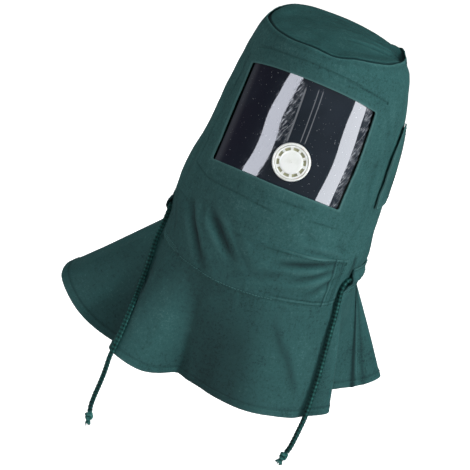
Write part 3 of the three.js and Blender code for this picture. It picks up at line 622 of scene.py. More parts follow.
def catmull_rom(points, spacing):
    """The smooth line through the points (centripetal), at even steps."""
    p = np.asarray(points, float)
    p = np.concatenate([[2 * p[0] - p[1]], p, [2 * p[-1] - p[-2]]])
    line = []
    for k in range(1, len(p) - 2):
        x0, x1, x2, x3 = p[k - 1:k + 3]
        d0, d1, d2 = (np.linalg.norm(b - a) ** 0.5 for a, b in ((x0, x1), (x1, x2), (x2, x3)))
        t1 = ((x1 - x0) / d0 - (x2 - x0) / (d0 + d1) + (x2 - x1) / d1) * d1
        t2 = ((x2 - x1) / d1 - (x3 - x1) / (d1 + d2) + (x3 - x2) / d2) * d1
        for t in np.linspace(0, 1, 40, endpoint=False):
            square = -3 * x1 + 3 * x2 - 2 * t1 - t2
            cube = 2 * x1 - 2 * x2 + t1 + t2
            line.append(x1 + t1 * t + square * t ** 2 + cube * t ** 3)
    line.append(p[-2])
    return even_steps(np.array(line), spacing)


def line_length(line):
    return float(np.linalg.norm(np.diff(line, axis=0), axis=1).sum())


# Materials
class Nodes:
    """Short helpers for a material's node tree."""

    def __init__(self, name):
        self.material = bpy.data.materials.new(name)
        self.material.use_nodes = True
        self.tree = self.material.node_tree
        self.shader = self.tree.nodes["Principled BSDF"]

    def put(self, socket, value):
        if hasattr(value, "is_output"):
            self.tree.links.new(value, socket)
        else:
            socket.default_value = value

    def node(self, kind, inputs, output, **values):
        """An output of a new node, whose inputs are given by name or number."""
        node = self.tree.nodes.new(kind)
        for key, value in values.items():
            setattr(node, key, value)
        for key, value in inputs.items():
            self.put(node.inputs[key], value)
        return node.outputs[output]

    def math(self, operation, *inputs, clamp=False):
        return self.node("ShaderNodeMath", dict(enumerate(inputs)), 0, operation=operation, use_clamp=clamp)

    def ramp(self, value, low, high, to_low=0.0, to_high=1.0):
        inputs = {"Value": value, "From Min": low, "From Max": high, "To Min": to_low, "To Max": to_high}
        return self.node("ShaderNodeMapRange", inputs, "Result", interpolation_type="SMOOTHSTEP")

    def mix(self, share, a, b):
        return self.node("ShaderNodeMix", {0: share, 6: a, 7: b}, 2, data_type="RGBA")

    def noise(self, vector, scale, detail=3.0, rough=0.5):
        inputs = {"Vector": vector, "Scale": scale, "Detail": detail, "Roughness": rough}
        return self.node("ShaderNodeTexNoise", inputs, "Fac")

    def stretched(self, vector, x, y):
        return self.node("ShaderNodeMapping", {"Vector": vector, "Scale": (x, y, 1.0)}, 0)

    def weighed(self, *parts):
        """A sum of fields about 0, each of them about 0.5 before its weight."""
        total = None
        for field, weight in parts:
            part = self.math("MULTIPLY", self.math("SUBTRACT", field, 0.5), weight)
            total = part if total is None else self.math("ADD", total, part)
        return total

    def bump(self, height, strength, distance, under=None):
        inputs = {"Strength": strength, "Distance": distance, "Height": height}
        if under is not None:
            inputs["Normal"] = under
        return self.node("ShaderNodeBump", inputs, "Normal")

    def uv_mm(self):
        """The cloth's own coordinates: along the weft and along the warp in mm, and both in metres."""
        uv = self.node("ShaderNodeUVMap", {}, "UV", uv_map="cloth")
        split = self.tree.nodes.new("ShaderNodeSeparateXYZ")
        self.put(split.inputs[0], uv)
        u, v = (self.math("MULTIPLY", split.outputs[k], 1 / MM) for k in (0, 1))
        return u, v, uv

    def place(self):
        return self.node("ShaderNodeTexCoord", {}, "Object")

    def attribute(self, name):
        return self.node("ShaderNodeAttribute", {}, "Fac", attribute_type="GEOMETRY", attribute_name=name)

    def set(self, **values):
        for key, value in values.items():
            self.put(self.shader.inputs[key.replace("_", " ")], value)


THREAD_PITCH = 0.95


def canvas_material(name, base, light, dark):
    """Plain-woven cotton canvas: two sets of threads, slubs, mottled dye, and for each point paler worn
    edges, painted shade and painted highlights.
    """
    n = Nodes(name)
    u, v, uv = n.uv_mm()
    place = n.place()
    turns = math.tau / THREAD_PITCH
    wander = n.math("MULTIPLY", n.math("SUBTRACT", n.noise(place, 90.0, 2.0), 0.5), 1.4)
    warp, weft = (n.math("SINE", n.math("ADD", n.math("MULTIPLY", side, turns), wander)) for side in (u, v))
    height = n.math("MULTIPLY_ADD", n.math("MULTIPLY", warp, weft), 0.5, 0.5)
    mottle = n.noise(place, 38.0, 4.0, 0.6)
    cloud = n.noise(place, 9.0, 2.0)
    grain = n.noise(place, 330.0, 2.0, 0.6)
    fuzz = n.noise(place, 800.0, 3.0, 0.65)
    across = n.noise(n.stretched(uv, 1.0, 0.16), 420.0, 2.0, 0.6)
    along = n.noise(n.stretched(uv, 0.16, 1.0), 420.0, 2.0, 0.6)
    wear_and_painted_light = n.attribute("wear_and_painted_light")
    tone = n.weighed((mottle, 0.7), (cloud, 0.7), (grain, 1.0), (fuzz, 1.25), (across, 0.32), (along, 0.32),
                     (height, 0.4))
    # the per-point value paints shade in creases, seams and mouths, and highlights on edges and ridges,
    # besides some wear
    darker = n.math("ADD", n.ramp(tone, 0.05, -0.7), n.math("MULTIPLY", wear_and_painted_light, -1.0), clamp=True)
    lighter = n.math("ADD", n.ramp(tone, 0.05, 0.9), n.math("MULTIPLY", wear_and_painted_light, 0.8), clamp=True)
    colour = n.mix(lighter, n.mix(darker, base, dark), light)
    rough = n.math("MULTIPLY_ADD", fuzz, 0.14, 0.8)
    weave = n.bump(height, 0.5, 0.00025)
    n.set(Base_Color=colour, Roughness=rough, Specular_IOR_Level=0.1,
          Normal=n.bump(n.math("ADD", fuzz, mottle), 0.3, 0.0004, weave))
    return n.material


PLAITS_ROUND = 2
PLAIT_PITCH = 9.2
FREE_CORD_SWELL = 0.2


def cord_material(name, base, light, dark):
    """Braided cord: fine filaments along the plaits, with painted shade between the plaits and painted
    highlight on them.
    """
    n = Nodes(name)
    u, v, _ = n.uv_mm()
    place = n.place()
    around = n.math("MULTIPLY", u, PLAITS_ROUND / (CORD_DIAMETER / 2))
    onward = n.math("MULTIPLY", v, math.tau / PLAIT_PITCH)
    left = n.math("SINE", n.math("ADD", around, onward))
    right = n.math("SINE", n.math("SUBTRACT", around, onward))
    plait = n.math("MULTIPLY_ADD", n.math("MULTIPLY", left, right), 0.5, 0.5)
    fuzz = n.noise(place, 900.0, 3.0, 0.7)
    patch = n.noise(place, 60.0, 2.0)
    # the plait pattern in the tone paints shade between the plaits and highlight on them
    tone = n.weighed((fuzz, 0.8), (plait, 0.85), (patch, 0.5))
    colour = n.mix(n.ramp(tone, -0.02, -0.45), base, dark)
    colour = n.mix(n.ramp(tone, 0.05, 0.6), colour, light)
    bump = n.bump(plait, 0.5, 0.0003)
    n.set(Base_Color=colour, Roughness=n.math("MULTIPLY_ADD", fuzz, 0.15, 0.75),
          Normal=n.bump(fuzz, 0.4, 0.0003, bump), Specular_IOR_Level=0.05)
    return n.material


def lens_material(name):
    """A clear sheet painted dark for the shaded inside of the hood behind it, with scuffed strips and dust,
    thin painted reflections, a painted pale band at its left and painted shadow along the window's sides.
    """
    n = Nodes(name)
    u, v, uv = n.uv_mm()
    place = n.place()

    def strip(middle, half, low, high, soft=0.8):
        across = n.math("ABSOLUTE", n.math("SUBTRACT", u, middle))
        side = n.ramp(across, half + soft, half)
        foot = n.ramp(v, low, low + 4.0)
        top = n.ramp(v, high, high - 4.0)
        return n.math("MULTIPLY", side, n.math("MULTIPLY", foot, top))

    slanted = n.node("ShaderNodeMapping", {"Vector": uv, "Rotation": (0.0, 0.0, math.radians(28))}, 0)
    scratch = n.ramp(n.noise(n.stretched(slanted, 1.0, 0.13), 620.0, 3.0, 0.7), 0.52, 0.66)
    blotch = n.ramp(n.noise(place, 160.0, 3.0, 0.6), 0.42, 0.7)
    haze = n.noise(place, 25.0, 3.0)
    scuffed = n.math("MAXIMUM", strip(-9.0, 6.5, -120.0, -47.0), strip(78.5, 5.5, -170.0, -52.0))
    rubbed = n.math("MULTIPLY", strip(-26.0, 17.0, -175.0, -40.0), n.math("MULTIPLY", scratch, 0.14))
    scuff = n.math("MULTIPLY", scuffed, n.math("ADD", n.math("MULTIPLY", scratch, 0.75),
                                                n.math("MULTIPLY", blotch, 0.3)), clamp=True)
    # thin bright lines painted as reflections
    glint_lines = n.math("MAXIMUM", strip(11.7, 0.35, -112.0, -49.0, 0.3), strip(16.8, 0.35, -112.0, -49.0, 0.3))
    glint_lines = n.math("MAXIMUM", glint_lines, strip(-2.6, 0.7, -116.0, -52.0, 0.5))
    dust = n.ramp(n.noise(place, 560.0, 1.0, 0.5), 0.72, 0.78)
    pale = n.math("MAXIMUM", n.math("MULTIPLY", scuff, 0.55), n.math("MULTIPLY", glint_lines, 0.42))
    # a soft pale band near the left edge is painted light
    pale = n.math("MAXIMUM", pale, n.math("MULTIPLY", strip(-78.0, 0.5, -175.0, -50.0, 11.0), 0.11))
    pale = n.math("MAXIMUM", pale, n.math("MULTIPLY", dust, 0.5), clamp=True)
    # the dark colour is painted shade: the dim inside of the hood seen through the clear sheet, with a
    # purpler tint at the left
    left = n.ramp(u, 5.0, -85.0)
    deep = n.mix(left, (0.004, 0.009, 0.016, 1), (0.012, 0.012, 0.023, 1))
    deep = n.mix(n.ramp(haze, 0.45, 0.7, 0.0, 0.25), deep, (0.014, 0.022, 0.034, 1))
    colour = n.mix(pale, deep, (0.30, 0.32, 0.35, 1))
    # painted shadow of the window's cloth edges along both sides of the sheet
    shade = n.math("MAXIMUM", strip(-83.6, 2.0, -200.0, -30.0, 1.5), strip(84.0, 2.2, -200.0, -30.0, 1.5))
    colour = n.mix(shade, colour, (0.001, 0.002, 0.002, 1))
    rough = n.math("ADD", n.math("MULTIPLY", scuff, 0.3), n.ramp(haze, 0.3, 0.75, 0.02, 0.045))
    rough = n.math("ADD", rough, rubbed)
    wave = n.bump(n.noise(place, 9.0, 1.0), 0.02, 0.004)
    n.set(Base_Color=colour, Roughness=rough, IOR=1.5, Specular_IOR_Level=0.3,
          Normal=n.bump(scuff, 0.1, 0.0002, wave))
    return n.material


def plastic_material(name, base, shade):
    """Moulded white plastic: fine moulding grain, mottled tone, and painted shade in its recesses."""
    n = Nodes(name)
    place = n.place()
    grain = n.noise(place, 1500.0, 2.0)
    cloud = n.noise(place, 70.0, 3.0)
    wear_and_painted_light = n.attribute("wear_and_painted_light")
    # the per-point value paints shade in the valve's recesses and where it meets the lens
    share = n.math("ADD", n.ramp(cloud, 0.5, 0.85, 0.0, 0.35), n.math("MULTIPLY", wear_and_painted_light, 0.85), clamp=True)
    n.set(Base_Color=n.mix(share, base, shade), Roughness=n.math("MULTIPLY_ADD", grain, 0.12, 0.3), IOR=1.46,
          Normal=n.bump(grain, 0.12, 0.0002), Subsurface_Weight=0.04)
    return n.material


def floor_material():
    n = Nodes("floor")
    cloud = n.noise(n.place(), 1.5, 3.0)
    n.set(Base_Color=n.mix(cloud, (0.9, 0.9, 0.9, 1), (0.94, 0.94, 0.94, 1)), Roughness=0.9)
    n.set(Emission_Color=(1.0, 1.0, 1.0, 1.0), Emission_Strength=0.6)
    return n.material


def material_of(make, name, *colours):
    return make(name, *(colour + (1.0,) for colour in colours))


# each with its base, its light and its dark colour, or its base and its shade
CANVAS_MAT = material_of(canvas_material, "canvas", (0.0185, 0.072, 0.071), (0.062, 0.152, 0.150),
                         (0.004, 0.020, 0.021))
# the thread is darker than the canvas to paint the shade in the stitch holes
SHADED_THREAD_MAT = material_of(canvas_material, "thread", (0.011, 0.050, 0.048), (0.030, 0.100, 0.096),
                         (0.003, 0.016, 0.016))
PALE_THREAD_MAT = material_of(canvas_material, "thread_pale", (0.045, 0.135, 0.130), (0.085, 0.21, 0.20),
                              (0.02, 0.07, 0.07))
CORD_MAT = material_of(cord_material, "cord", (0.006, 0.037, 0.034), (0.026, 0.108, 0.099),
                       (0.001, 0.006, 0.006))
FRAY_MAT = material_of(cord_material, "frayed_cord", (0.025, 0.11, 0.10), (0.07, 0.20, 0.18),
                       (0.006, 0.035, 0.032))
LENS_MAT = lens_material("lens")
VENT_MAT = material_of(plastic_material, "vent", (0.72, 0.73, 0.71), (0.34, 0.35, 0.24))
# the darker olive of the disc inside the valve is painted shade
VENT_INSIDE_SHADE_MAT = material_of(plastic_material, "vent_inside_shade", (0.34, 0.34, 0.20), (0.16, 0.16, 0.09))


def dress(piece, material, slot, *nodes):
    piece.data.materials.clear()
    piece.data.materials.append(material)
    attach(piece, "root")
    if nodes:
        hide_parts(*nodes)
    return piece


# The drawcord
def braid(angle, length, swell=0.0):
    """The braid's radius: plaits over and under, swollen by a share once it is out of the casing."""
    onward = 2 * np.pi * length / PLAIT_PITCH
    plaits = np.sin(PLAITS_ROUND * angle + onward) * np.sin(PLAITS_ROUND * angle - onward)
    return CORD_DIAMETER / 2 * (0.95 + swell * smoothstep(4, 20, length) + 0.16 * plaits)


CORD_MESH_STEP = 0.55
right_line = catmull_rom(CORD_RIGHT_POINTS, CORD_MESH_STEP)
left_line = catmull_rom(CORD_LEFT_POINTS, CORD_MESH_STEP)
hidden_angles = np.linspace(CASING_RIGHT, 360 + CASING_LEFT, 31)
hidden_z = casing_middle_z(hidden_angles)
hidden_out = LAYER_GAP + CORD_DIAMETER / 2 - cinch(hidden_angles, hidden_z)
hidden_line = catmull_rom(on_body(hidden_angles, hidden_z, hidden_out), 2 * CORD_MESH_STEP)


def cord_piece(name, line, sides=24, swell=FREE_CORD_SWELL):
    pile = Pile()
    pile.tube(line, lambda angle, length: braid(angle, length, swell), sides)
    return pile.build(name, 70)


def beside(way):
    """Two directions across a way."""
    side = unit(np.cross(way, [0.0, 1.0, 0.0]))
    return side, np.cross(way, side)


def winding(start, way, turns, radius, advance, count, phase=0.0):
    """The cord's path round its own end, from start along way."""
    side, up = beside(way)
    t = np.linspace(0, 1, count)[:, None]
    turn = phase + math.tau * turns * t
    swell = radius * taper(t, 0.14) ** 0.6
    return start + way * advance * t + swell * (np.cos(turn) * side + np.sin(turn) * up)


def plaited(thick, ripple=0.12):
    """A tube's radius with four plaits round it."""
    return lambda angle, length: thick + ripple * np.cos(4 * angle) * np.cos(1.3 * length)


def knot_piece(name, line, tips, spread, seed):
    """An overhand knot tied at the cord's end, its cut end frayed into strands."""
    rng = np.random.default_rng(seed)
    way = unit(line[-1] - line[-6])
    side, front = beside(way)
    start = line[-1] + way * 2 * GAP
    pile = Pile()
    pile.tube(start + way * np.linspace(0, 11.5, 24)[:, None], plaited(2.4, 0.1), 16)
    pile.tube(winding(start + way * 1.6, way, 1.35, 3.1, 7.4, 60), plaited(2.0), 14)
    pile.tube(winding(start + way * 2.2, way, -1.1, 2.9, 6.6, 50, 2.4), plaited(1.9), 14)
    root = start + way * 9.6
    t = np.linspace(0, 1, 9)[:, None]
    for k in range(tips):
        turn = math.tau * (k + rng.uniform(-0.3, 0.3)) / tips
        lean = spread * rng.uniform(0.5, 1.0)
        length = rng.uniform(5.0, 8.4)
        bend = rng.uniform(-0.5, 0.5)
        width = rng.uniform(0.5, 0.8)
        out = math.cos(turn) * side + math.sin(turn) * front * 0.7
        strand = root + out * (1.3 + lean * length * t ** 1.4) + way * length * t
        strand = strand + side * bend * np.sin(3 * t)
        pile.tube(strand, lambda a, s, w=width, m=length: w * (1.05 - 0.75 * (s / m / 1.2) ** 2), 7)
    return pile.build(name, 70)


cord_right = dress(cord_piece("cord_right", right_line), CORD_MAT, "cord", "drawcord_right")
cord_left = dress(cord_piece("cord_left", left_line), CORD_MAT, "cord", "drawcord_left")
dress(cord_piece("cord_inside", hidden_line, 16, 0.0), CORD_MAT, "cord", "drawcord_hidden")
end_right = dress(knot_piece("cord_end_right", right_line, 40, 0.6, 3), FRAY_MAT, "cord", "knot_right")
end_left = dress(knot_piece("cord_end_left", left_line, 26, 0.3, 8), FRAY_MAT, "cord", "knot_left")


# The body tube. Its grid is even in nominal angles, whose window columns are drawn to the window's width
WINDOW_NOMINAL = 46.0
BLEND_NOMINAL = 64.0
ARCH_END = 130
ROWS_ABOVE, ROWS_WINDOW, ROWS_BELOW = 30, 56, 76
COLUMNS_WINDOW, COLUMNS_REST = 88, 160
SLOT_HALF_ANGLE = 1.7
SLOT_INSET = 6


def body_grid():
    inside = np.linspace(-WINDOW_NOMINAL, WINDOW_NOMINAL, COLUMNS_WINDOW + 1)
    rest = np.linspace(WINDOW_NOMINAL, 360 - WINDOW_NOMINAL, COLUMNS_REST + 1)[1:-1]
    nominal = np.concatenate([inside, rest])
    size = np.abs(wrapped(nominal))
    sign = np.sign(wrapped(nominal))
    fade = np.where(size <= WINDOW_NOMINAL, (size / WINDOW_NOMINAL) ** 2,
                    1 - smoothstep(WINDOW_NOMINAL, ARCH_END, size))
    top = crown_seam_z(nominal) + CROWN_LIP
    window_top = WINDOW_TOP_Z - WINDOW_TOP_ARCH * fade
    window_bottom = WINDOW_BOTTOM_Z - WINDOW_BOTTOM_ARCH * fade
    foot = neck_seam_z(nominal)
    a = np.linspace(0, 1, ROWS_ABOVE + 1)[:-1]
    b = np.linspace(0, 1, ROWS_WINDOW + 1)[:-1]
    c = np.linspace(0, 1, ROWS_BELOW + 1)
    z = np.concatenate([top[:, None] + (window_top - top)[:, None] * a,
                        window_top[:, None] + (window_bottom - window_top)[:, None] * b,
                        window_bottom[:, None] + (foot - window_bottom)[:, None] * c], axis=1)
    held = np.clip(z, window_bottom[:, None], window_top[:, None])
    half = WINDOW_WIDTH / 2 * degrees_per_mm(held)
    within = wrapped(nominal)[:, None] / WINDOW_NOMINAL * half
    share = np.clip((size - WINDOW_NOMINAL) / (BLEND_NOMINAL - WINDOW_NOMINAL), 0, 1)[:, None]
    beyond = sign[:, None] * (half + (BLEND_NOMINAL - half) * share)
    angle = np.where((size <= WINDOW_NOMINAL)[:, None], within, beyond)
    angle = np.where((size >= BLEND_NOMINAL)[:, None], wrapped(nominal)[:, None], angle)
    return nominal, angle, z


def make_body():
    nominal, angle, z = body_grid()
    detail = body_detail(angle, z)
    holes = np.zeros((len(nominal), z.shape[1] - 1), bool)
    holes[:COLUMNS_WINDOW, ROWS_ABOVE:ROWS_ABOVE + ROWS_WINDOW] = True
    middle = (nominal + np.roll(nominal, -1)) / 2
    slot_columns = np.where(np.abs(middle - SLOT_ANGLE) < SLOT_HALF_ANGLE)[0]
    slot_z = z[slot_columns[0]]
    slot_foot = FLAP_TOP_Z - FLAP_HEIGHT + SLOT_INSET
    holes[slot_columns] = (slot_z[:-1] < FLAP_TOP_Z - SLOT_INSET) & (slot_z[1:] > slot_foot)
    below = crown_seam_z(angle) + CROWN_LIP - z
    lip = smoothstep(3.0, 0.0, below)
    outer = on_body(angle, z, detail - 0.7 * lip ** 2)
    inner = on_body(angle, z, detail - CANVAS - 0.15 * lip)
    # the window's corners are rounded a little
    for column, inward in ((0, 1), (COLUMNS_WINDOW, -1)):
        for row, level in ((ROWS_ABOVE, 1), (ROWS_ABOVE + ROWS_WINDOW, -1)):
            for grid in (outer, inner):
                corner = grid[column, row]
                beside = grid[column + inward, row] + grid[column, row + level]
                grid[column, row] += 0.3 * (beside - 2 * corner)
    edge = window_offset(angle, z)
    # painted light and shade on the body: pale lines along the window's edge, partly wear and partly painted
    # highlight; painted highlights on the crown's lip and above the neck seam; painted shade under the lip,
    # in the seams and in the creases
    wear_and_painted_light = marks((edge - 0.2, 1.1, 0.9 * (edge > -3)), (edge - 5, 3.0, 0.08), (below - 4, 2.4, -0.2),
                 (z - neck_seam_z(angle) - 4, 5, 0.18))
    wear_and_painted_light = wear_and_painted_light + 0.35 * smoothstep(1.3, 0.1, below) - 0.3 * seam_lines(angle, z, 1.1)
    wear_and_painted_light = wear_and_painted_light - crease_shade(angle, z)
    # painted shadow in the slits at the casing's mouths
    mouth_slit_shadow = smoothstep(-252, -240, z) * smoothstep(-219, -226, z)
    for mouth in (CASING_RIGHT - 1.2, CASING_LEFT + 1.2):
        wear_and_painted_light = wear_and_painted_light - 0.9 * mouth_slit_shadow * hill(wrapped(angle - mouth) / 1.3)
    uv = np.stack([np.radians(nominal)[:, None] * CLOTH_RADIUS + 0 * z, z], -1)
    piece = sheet_mesh("body_cloth", outer, inner, uv, ring=True, holes=holes, wear_and_painted_light=wear_and_painted_light)
    return dress(piece, CANVAS_MAT, "canvas", "hood_body")


body_cloth = make_body()


# The crown. Its creases: from and to across and forward; then width and depth
CROWN_CREASES = [
    (14, -34, 70, -6, 3.4, 3.4),
    (34, -4, 72, 14, 3.2, 3.0),
    (0, 2, 52, 26, 4.0, 1.2),
    (-50, -34, -10, -52, 4.0, 0.6),
    (-30, 20, 20, 34, 6.0, 0.8),
    (-58, 6, -30, -18, 5.0, 0.7),
]
CROWN_POCKET_ANGLE = 103
FLANGE_ROWS = 7


def crown_top(x, y):
    """Height over the smooth dome."""
    total = 0.5 * np.sin(x / 17 + 0.6) * np.cos(y / 21 + 0.3) + 0.25 * np.sin(x / 7.3 - y / 9.1)
    for *line, width, depth in CROWN_CREASES:
        apart, t = from_segment(x, y, *line)
        valley = np.exp(-np.sqrt(apart ** 2 + 0.5) / width)
        total = total + depth * taper(t, 0.1) * (0.35 * hill(apart / width - 2) - valley)
    return total


def crown_pocket(angle, share):
    """The hollow at the crown's right end, 0 to 1, beside the seam's raised tip."""
    return hill((angle - CROWN_POCKET_ANGLE) / 21) * smoothstep(0.7, 0.95, share)


def make_crown():
    columns = 180
    angle = (np.arange(columns) / columns * 360.0)[:, None]
    share = np.concatenate([[0.0012], np.linspace(0.02, 0.9, 34), np.linspace(0.915, 1, 12)])
    rim_z = crown_seam_z(angle)
    rim = on_body(angle, rim_z, -CANVAS - LAYER_GAP)
    x, y = rim[..., 0] * share, rim[..., 1] * share
    hollow = crown_pocket(angle, share)
    fill = smoothstep(0.72, 0.95, share) * (1 - smoothstep(0.962, 0.99, share))
    z = CANVAS + (rim_z - CANVAS) * share ** 2 + crown_top(x, y) * (1 - smoothstep(0.86, 1.0, share))
    z = z + (CROWN_LIP + 0.3) * fill * (1 - hollow) - 3.6 * hollow * (1 - smoothstep(0.96, 1.0, share))
    foot = rim_z - CROWN_FLANGE * np.linspace(0, 1, FLANGE_ROWS + 1)[1:]
    flange = on_body(angle + 0 * foot, foot, -CANVAS - LAYER_GAP)
    outer = np.concatenate([np.stack([x, y, z], -1), flange], axis=1)
    inner = along_normals(outer, CANVAS, ring=True)
    uv = outer[..., :2].copy()
    uv[:, -FLANGE_ROWS:, 1] += 40
    near = np.concatenate([share, np.ones(FLANGE_ROWS)]) + 0 * angle
    # painted light and shade on the crown: a painted highlight on its lip, painted shade in the crease at its
    # rim, in the hollow at its right end and in its creases, and a little darker overall
    wear_and_painted_light = 0.1 * hill((near - 0.945) / 0.012) - smoothstep(0.957, 0.972, near) - 0.1
    wear_and_painted_light = wear_and_painted_light - 0.8 * crown_pocket(angle, near)
    for *line, width, depth in CROWN_CREASES:
        apart, t = from_segment(outer[..., 0], outer[..., 1], *line)
        wear_and_painted_light = wear_and_painted_light - 0.12 * depth * taper(t, 0.1) * (hill(apart / width) - 0.6 * hill(apart / width - 2))
    piece = sheet_mesh("crown_cloth", outer, inner, uv, ring=True, wear_and_painted_light=wear_and_painted_light)
    return dress(piece, CANVAS_MAT, "canvas", "crown_panel")


crown_cloth = make_crown()


# The window's lens and its pocket
LENS_OUT = -CANVAS - LAYER_GAP
WINDOW_MIDDLE_Z = (WINDOW_TOP_Z + WINDOW_BOTTOM_Z) / 2
LENS_HALF = float((WINDOW_WIDTH / 2 + LENS_SIDE) * degrees_per_mm(WINDOW_MIDDLE_Z))
LENS_TOP_Z = WINDOW_TOP_Z + LENS_TOP
LENS_BOTTOM_Z = WINDOW_BOTTOM_Z - LENS_BOTTOM


def vent_frame():
    """The valve's seat on the lens, and the directions to its side, out of it and up."""
    angle = VENT_SIDE_OFFSET * float(degrees_per_mm(VENT_Z))
    seat = on_body(angle, VENT_Z, LENS_OUT)
    across = on_body(angle + 1, VENT_Z, LENS_OUT) - on_body(angle - 1, VENT_Z, LENS_OUT)
    upward = on_body(angle, VENT_Z + 1, LENS_OUT) - on_body(angle, VENT_Z - 1, LENS_OUT)
    out = unit(np.cross(unit(across), unit(upward)))
    side = unit(np.cross(out, upward))
    return seat, side, out, np.cross(side, out)


VENT_SEAT, VENT_SIDE, VENT_WAY, VENT_UP = vent_frame()
BARREL = VENT_BORE_RADIUS + VENT_BARREL_WALL
LENS_HOLE_MARGIN = 2.2


def front_grid(half, top, bottom, columns, rows, out):
    angle = np.linspace(-half, half, columns)[:, None] + np.zeros(rows)
    z = np.linspace(top, bottom, rows)[None] + np.zeros((columns, 1))
    return angle, z, on_body(angle, z, out)


def make_lens():
    angle, z, outer = front_grid(LENS_HALF, LENS_TOP_Z, LENS_BOTTOM_Z, 150, 104, LENS_OUT)
    inner = on_body(angle, z, LENS_OUT - LENS_THICKNESS)
    centre = (outer[:-1, :-1] + outer[1:, 1:]) / 2 - VENT_SEAT
    holes = np.hypot(centre @ VENT_SIDE, centre @ VENT_UP) < BARREL + LENS_HOLE_MARGIN
    uv = np.stack([angle / degrees_per_mm(z), z], -1)
    dress(sheet_mesh("lens_sheet", outer, inner, uv, holes=holes), LENS_MAT, "lens", "lens")


def make_pocket():
    half = LENS_HALF + POCKET_MARGIN * float(degrees_per_mm(WINDOW_MIDDLE_Z))
    out = LENS_OUT - LENS_THICKNESS - LAYER_GAP
    top, bottom = LENS_TOP_Z + POCKET_MARGIN / 3, LENS_BOTTOM_Z - POCKET_MARGIN
    angle, z, outer = front_grid(half, top, bottom, 110, 80, out)
    inner = on_body(angle, z, out - CANVAS)
    middle_angle, middle_z = ((grid[:-1, :-1] + grid[1:, 1:]) / 2 for grid in (angle, z))
    uv = np.stack([angle / degrees_per_mm(z), z], -1)
    piece = sheet_mesh("pocket_cloth", outer, inner, uv, holes=window_offset(middle_angle, middle_z) < 1.2)
    return dress(piece, CANVAS_MAT, "canvas", "lens_pocket")


make_lens()
pocket_cloth = make_pocket()


# The valve
RIM_WIDTH = 2.7
CAP_RADIUS = VENT_RADIUS - RIM_WIDTH - GAP
CAP_TOP = VENT_FRONT_HEIGHT - 0.4
CAP_THICKNESS = 1.5
CHAMBER = CAP_RADIUS - 1
LENS_TOUCH = 0.55
RING_DEPTH = 2.4
SHADE_DISC_HEIGHT = 2.6
SHADE_DISC_THICKNESS = 0.8
CAP_SIDES = 240
SLOT_EDGE = 4
# the cap's face: radius, and height over CAP_TOP. The slots lie between rows 8 and 12
CAP_FACE = np.array([
    (0.4, 0.12), (3, 0.12), (6, 0.12), (9, 0.12), (11.3, 0.1), (11.9, 0), (12.4, -0.22), (12.7, -0.28),
    (12.9, -0.3), (13.4, -0.3), (14.6, -0.3), (15.6, -0.3), (16.1, -0.3), (16.4, -0.22), (17, -0.1),
    (CAP_RADIUS - 0.35, -0.1), (CAP_RADIUS, -0.4),
])


def in_vent(radius, height, turn):
    return VENT_SEAT + (np.cos(turn) * radius)[..., None] * VENT_SIDE \
        + (np.sin(turn) * radius)[..., None] * VENT_UP + (height + 0 * turn)[..., None] * VENT_WAY


def outward(piece):
    """Turns the faces so that they all point out."""
    work = bmesh.new()
    work.from_mesh(piece.data)
    bmesh.ops.recalc_face_normals(work, faces=work.faces)
    work.to_mesh(piece.data)
    work.free()
    return piece


def turned(name, profile, wear_and_painted_light=0.0):
    """A closed profile of (radius, height) pairs turned about the valve's axis."""
    sides = 96
    turn = np.arange(sides) / sides * math.tau
    r, h = np.array(profile, float).T[..., None]
    count = len(profile)
    i, k = np.meshgrid(np.arange(count), np.arange(sides), indexing="ij")
    low, high, n = i * sides, (i + 1) % count * sides, (k + 1) % sides
    faces = np.stack([low + k, high + k, high + n, low + n], -1).reshape(-1, 4)
    values = np.repeat(wear_and_painted_light + np.zeros(count), sides)
    points = in_vent(r + 0 * turn, h, turn + 0 * r).reshape(-1, 3)
    return outward(link(name, points, faces, np.zeros((4 * len(faces), 2)), values, 35))


def vent_disc(name, radii, top, under, sides, holes=None, wear_and_painted_light=None, sharp_degrees=50):
    """A disc about the valve's axis, in rings of the radii. top and under are heights at a turn."""
    turn = (np.arange(sides) / sides * math.tau)[:, None]
    outer, inner = (in_vent(radii + 0 * turn, height(turn), turn + 0 * radii) for height in (top, under))
    uv = np.zeros((sides, len(radii), 2))
    return outward(sheet_mesh(name, outer, inner, uv, True, holes, wear_and_painted_light, sharp_degrees))


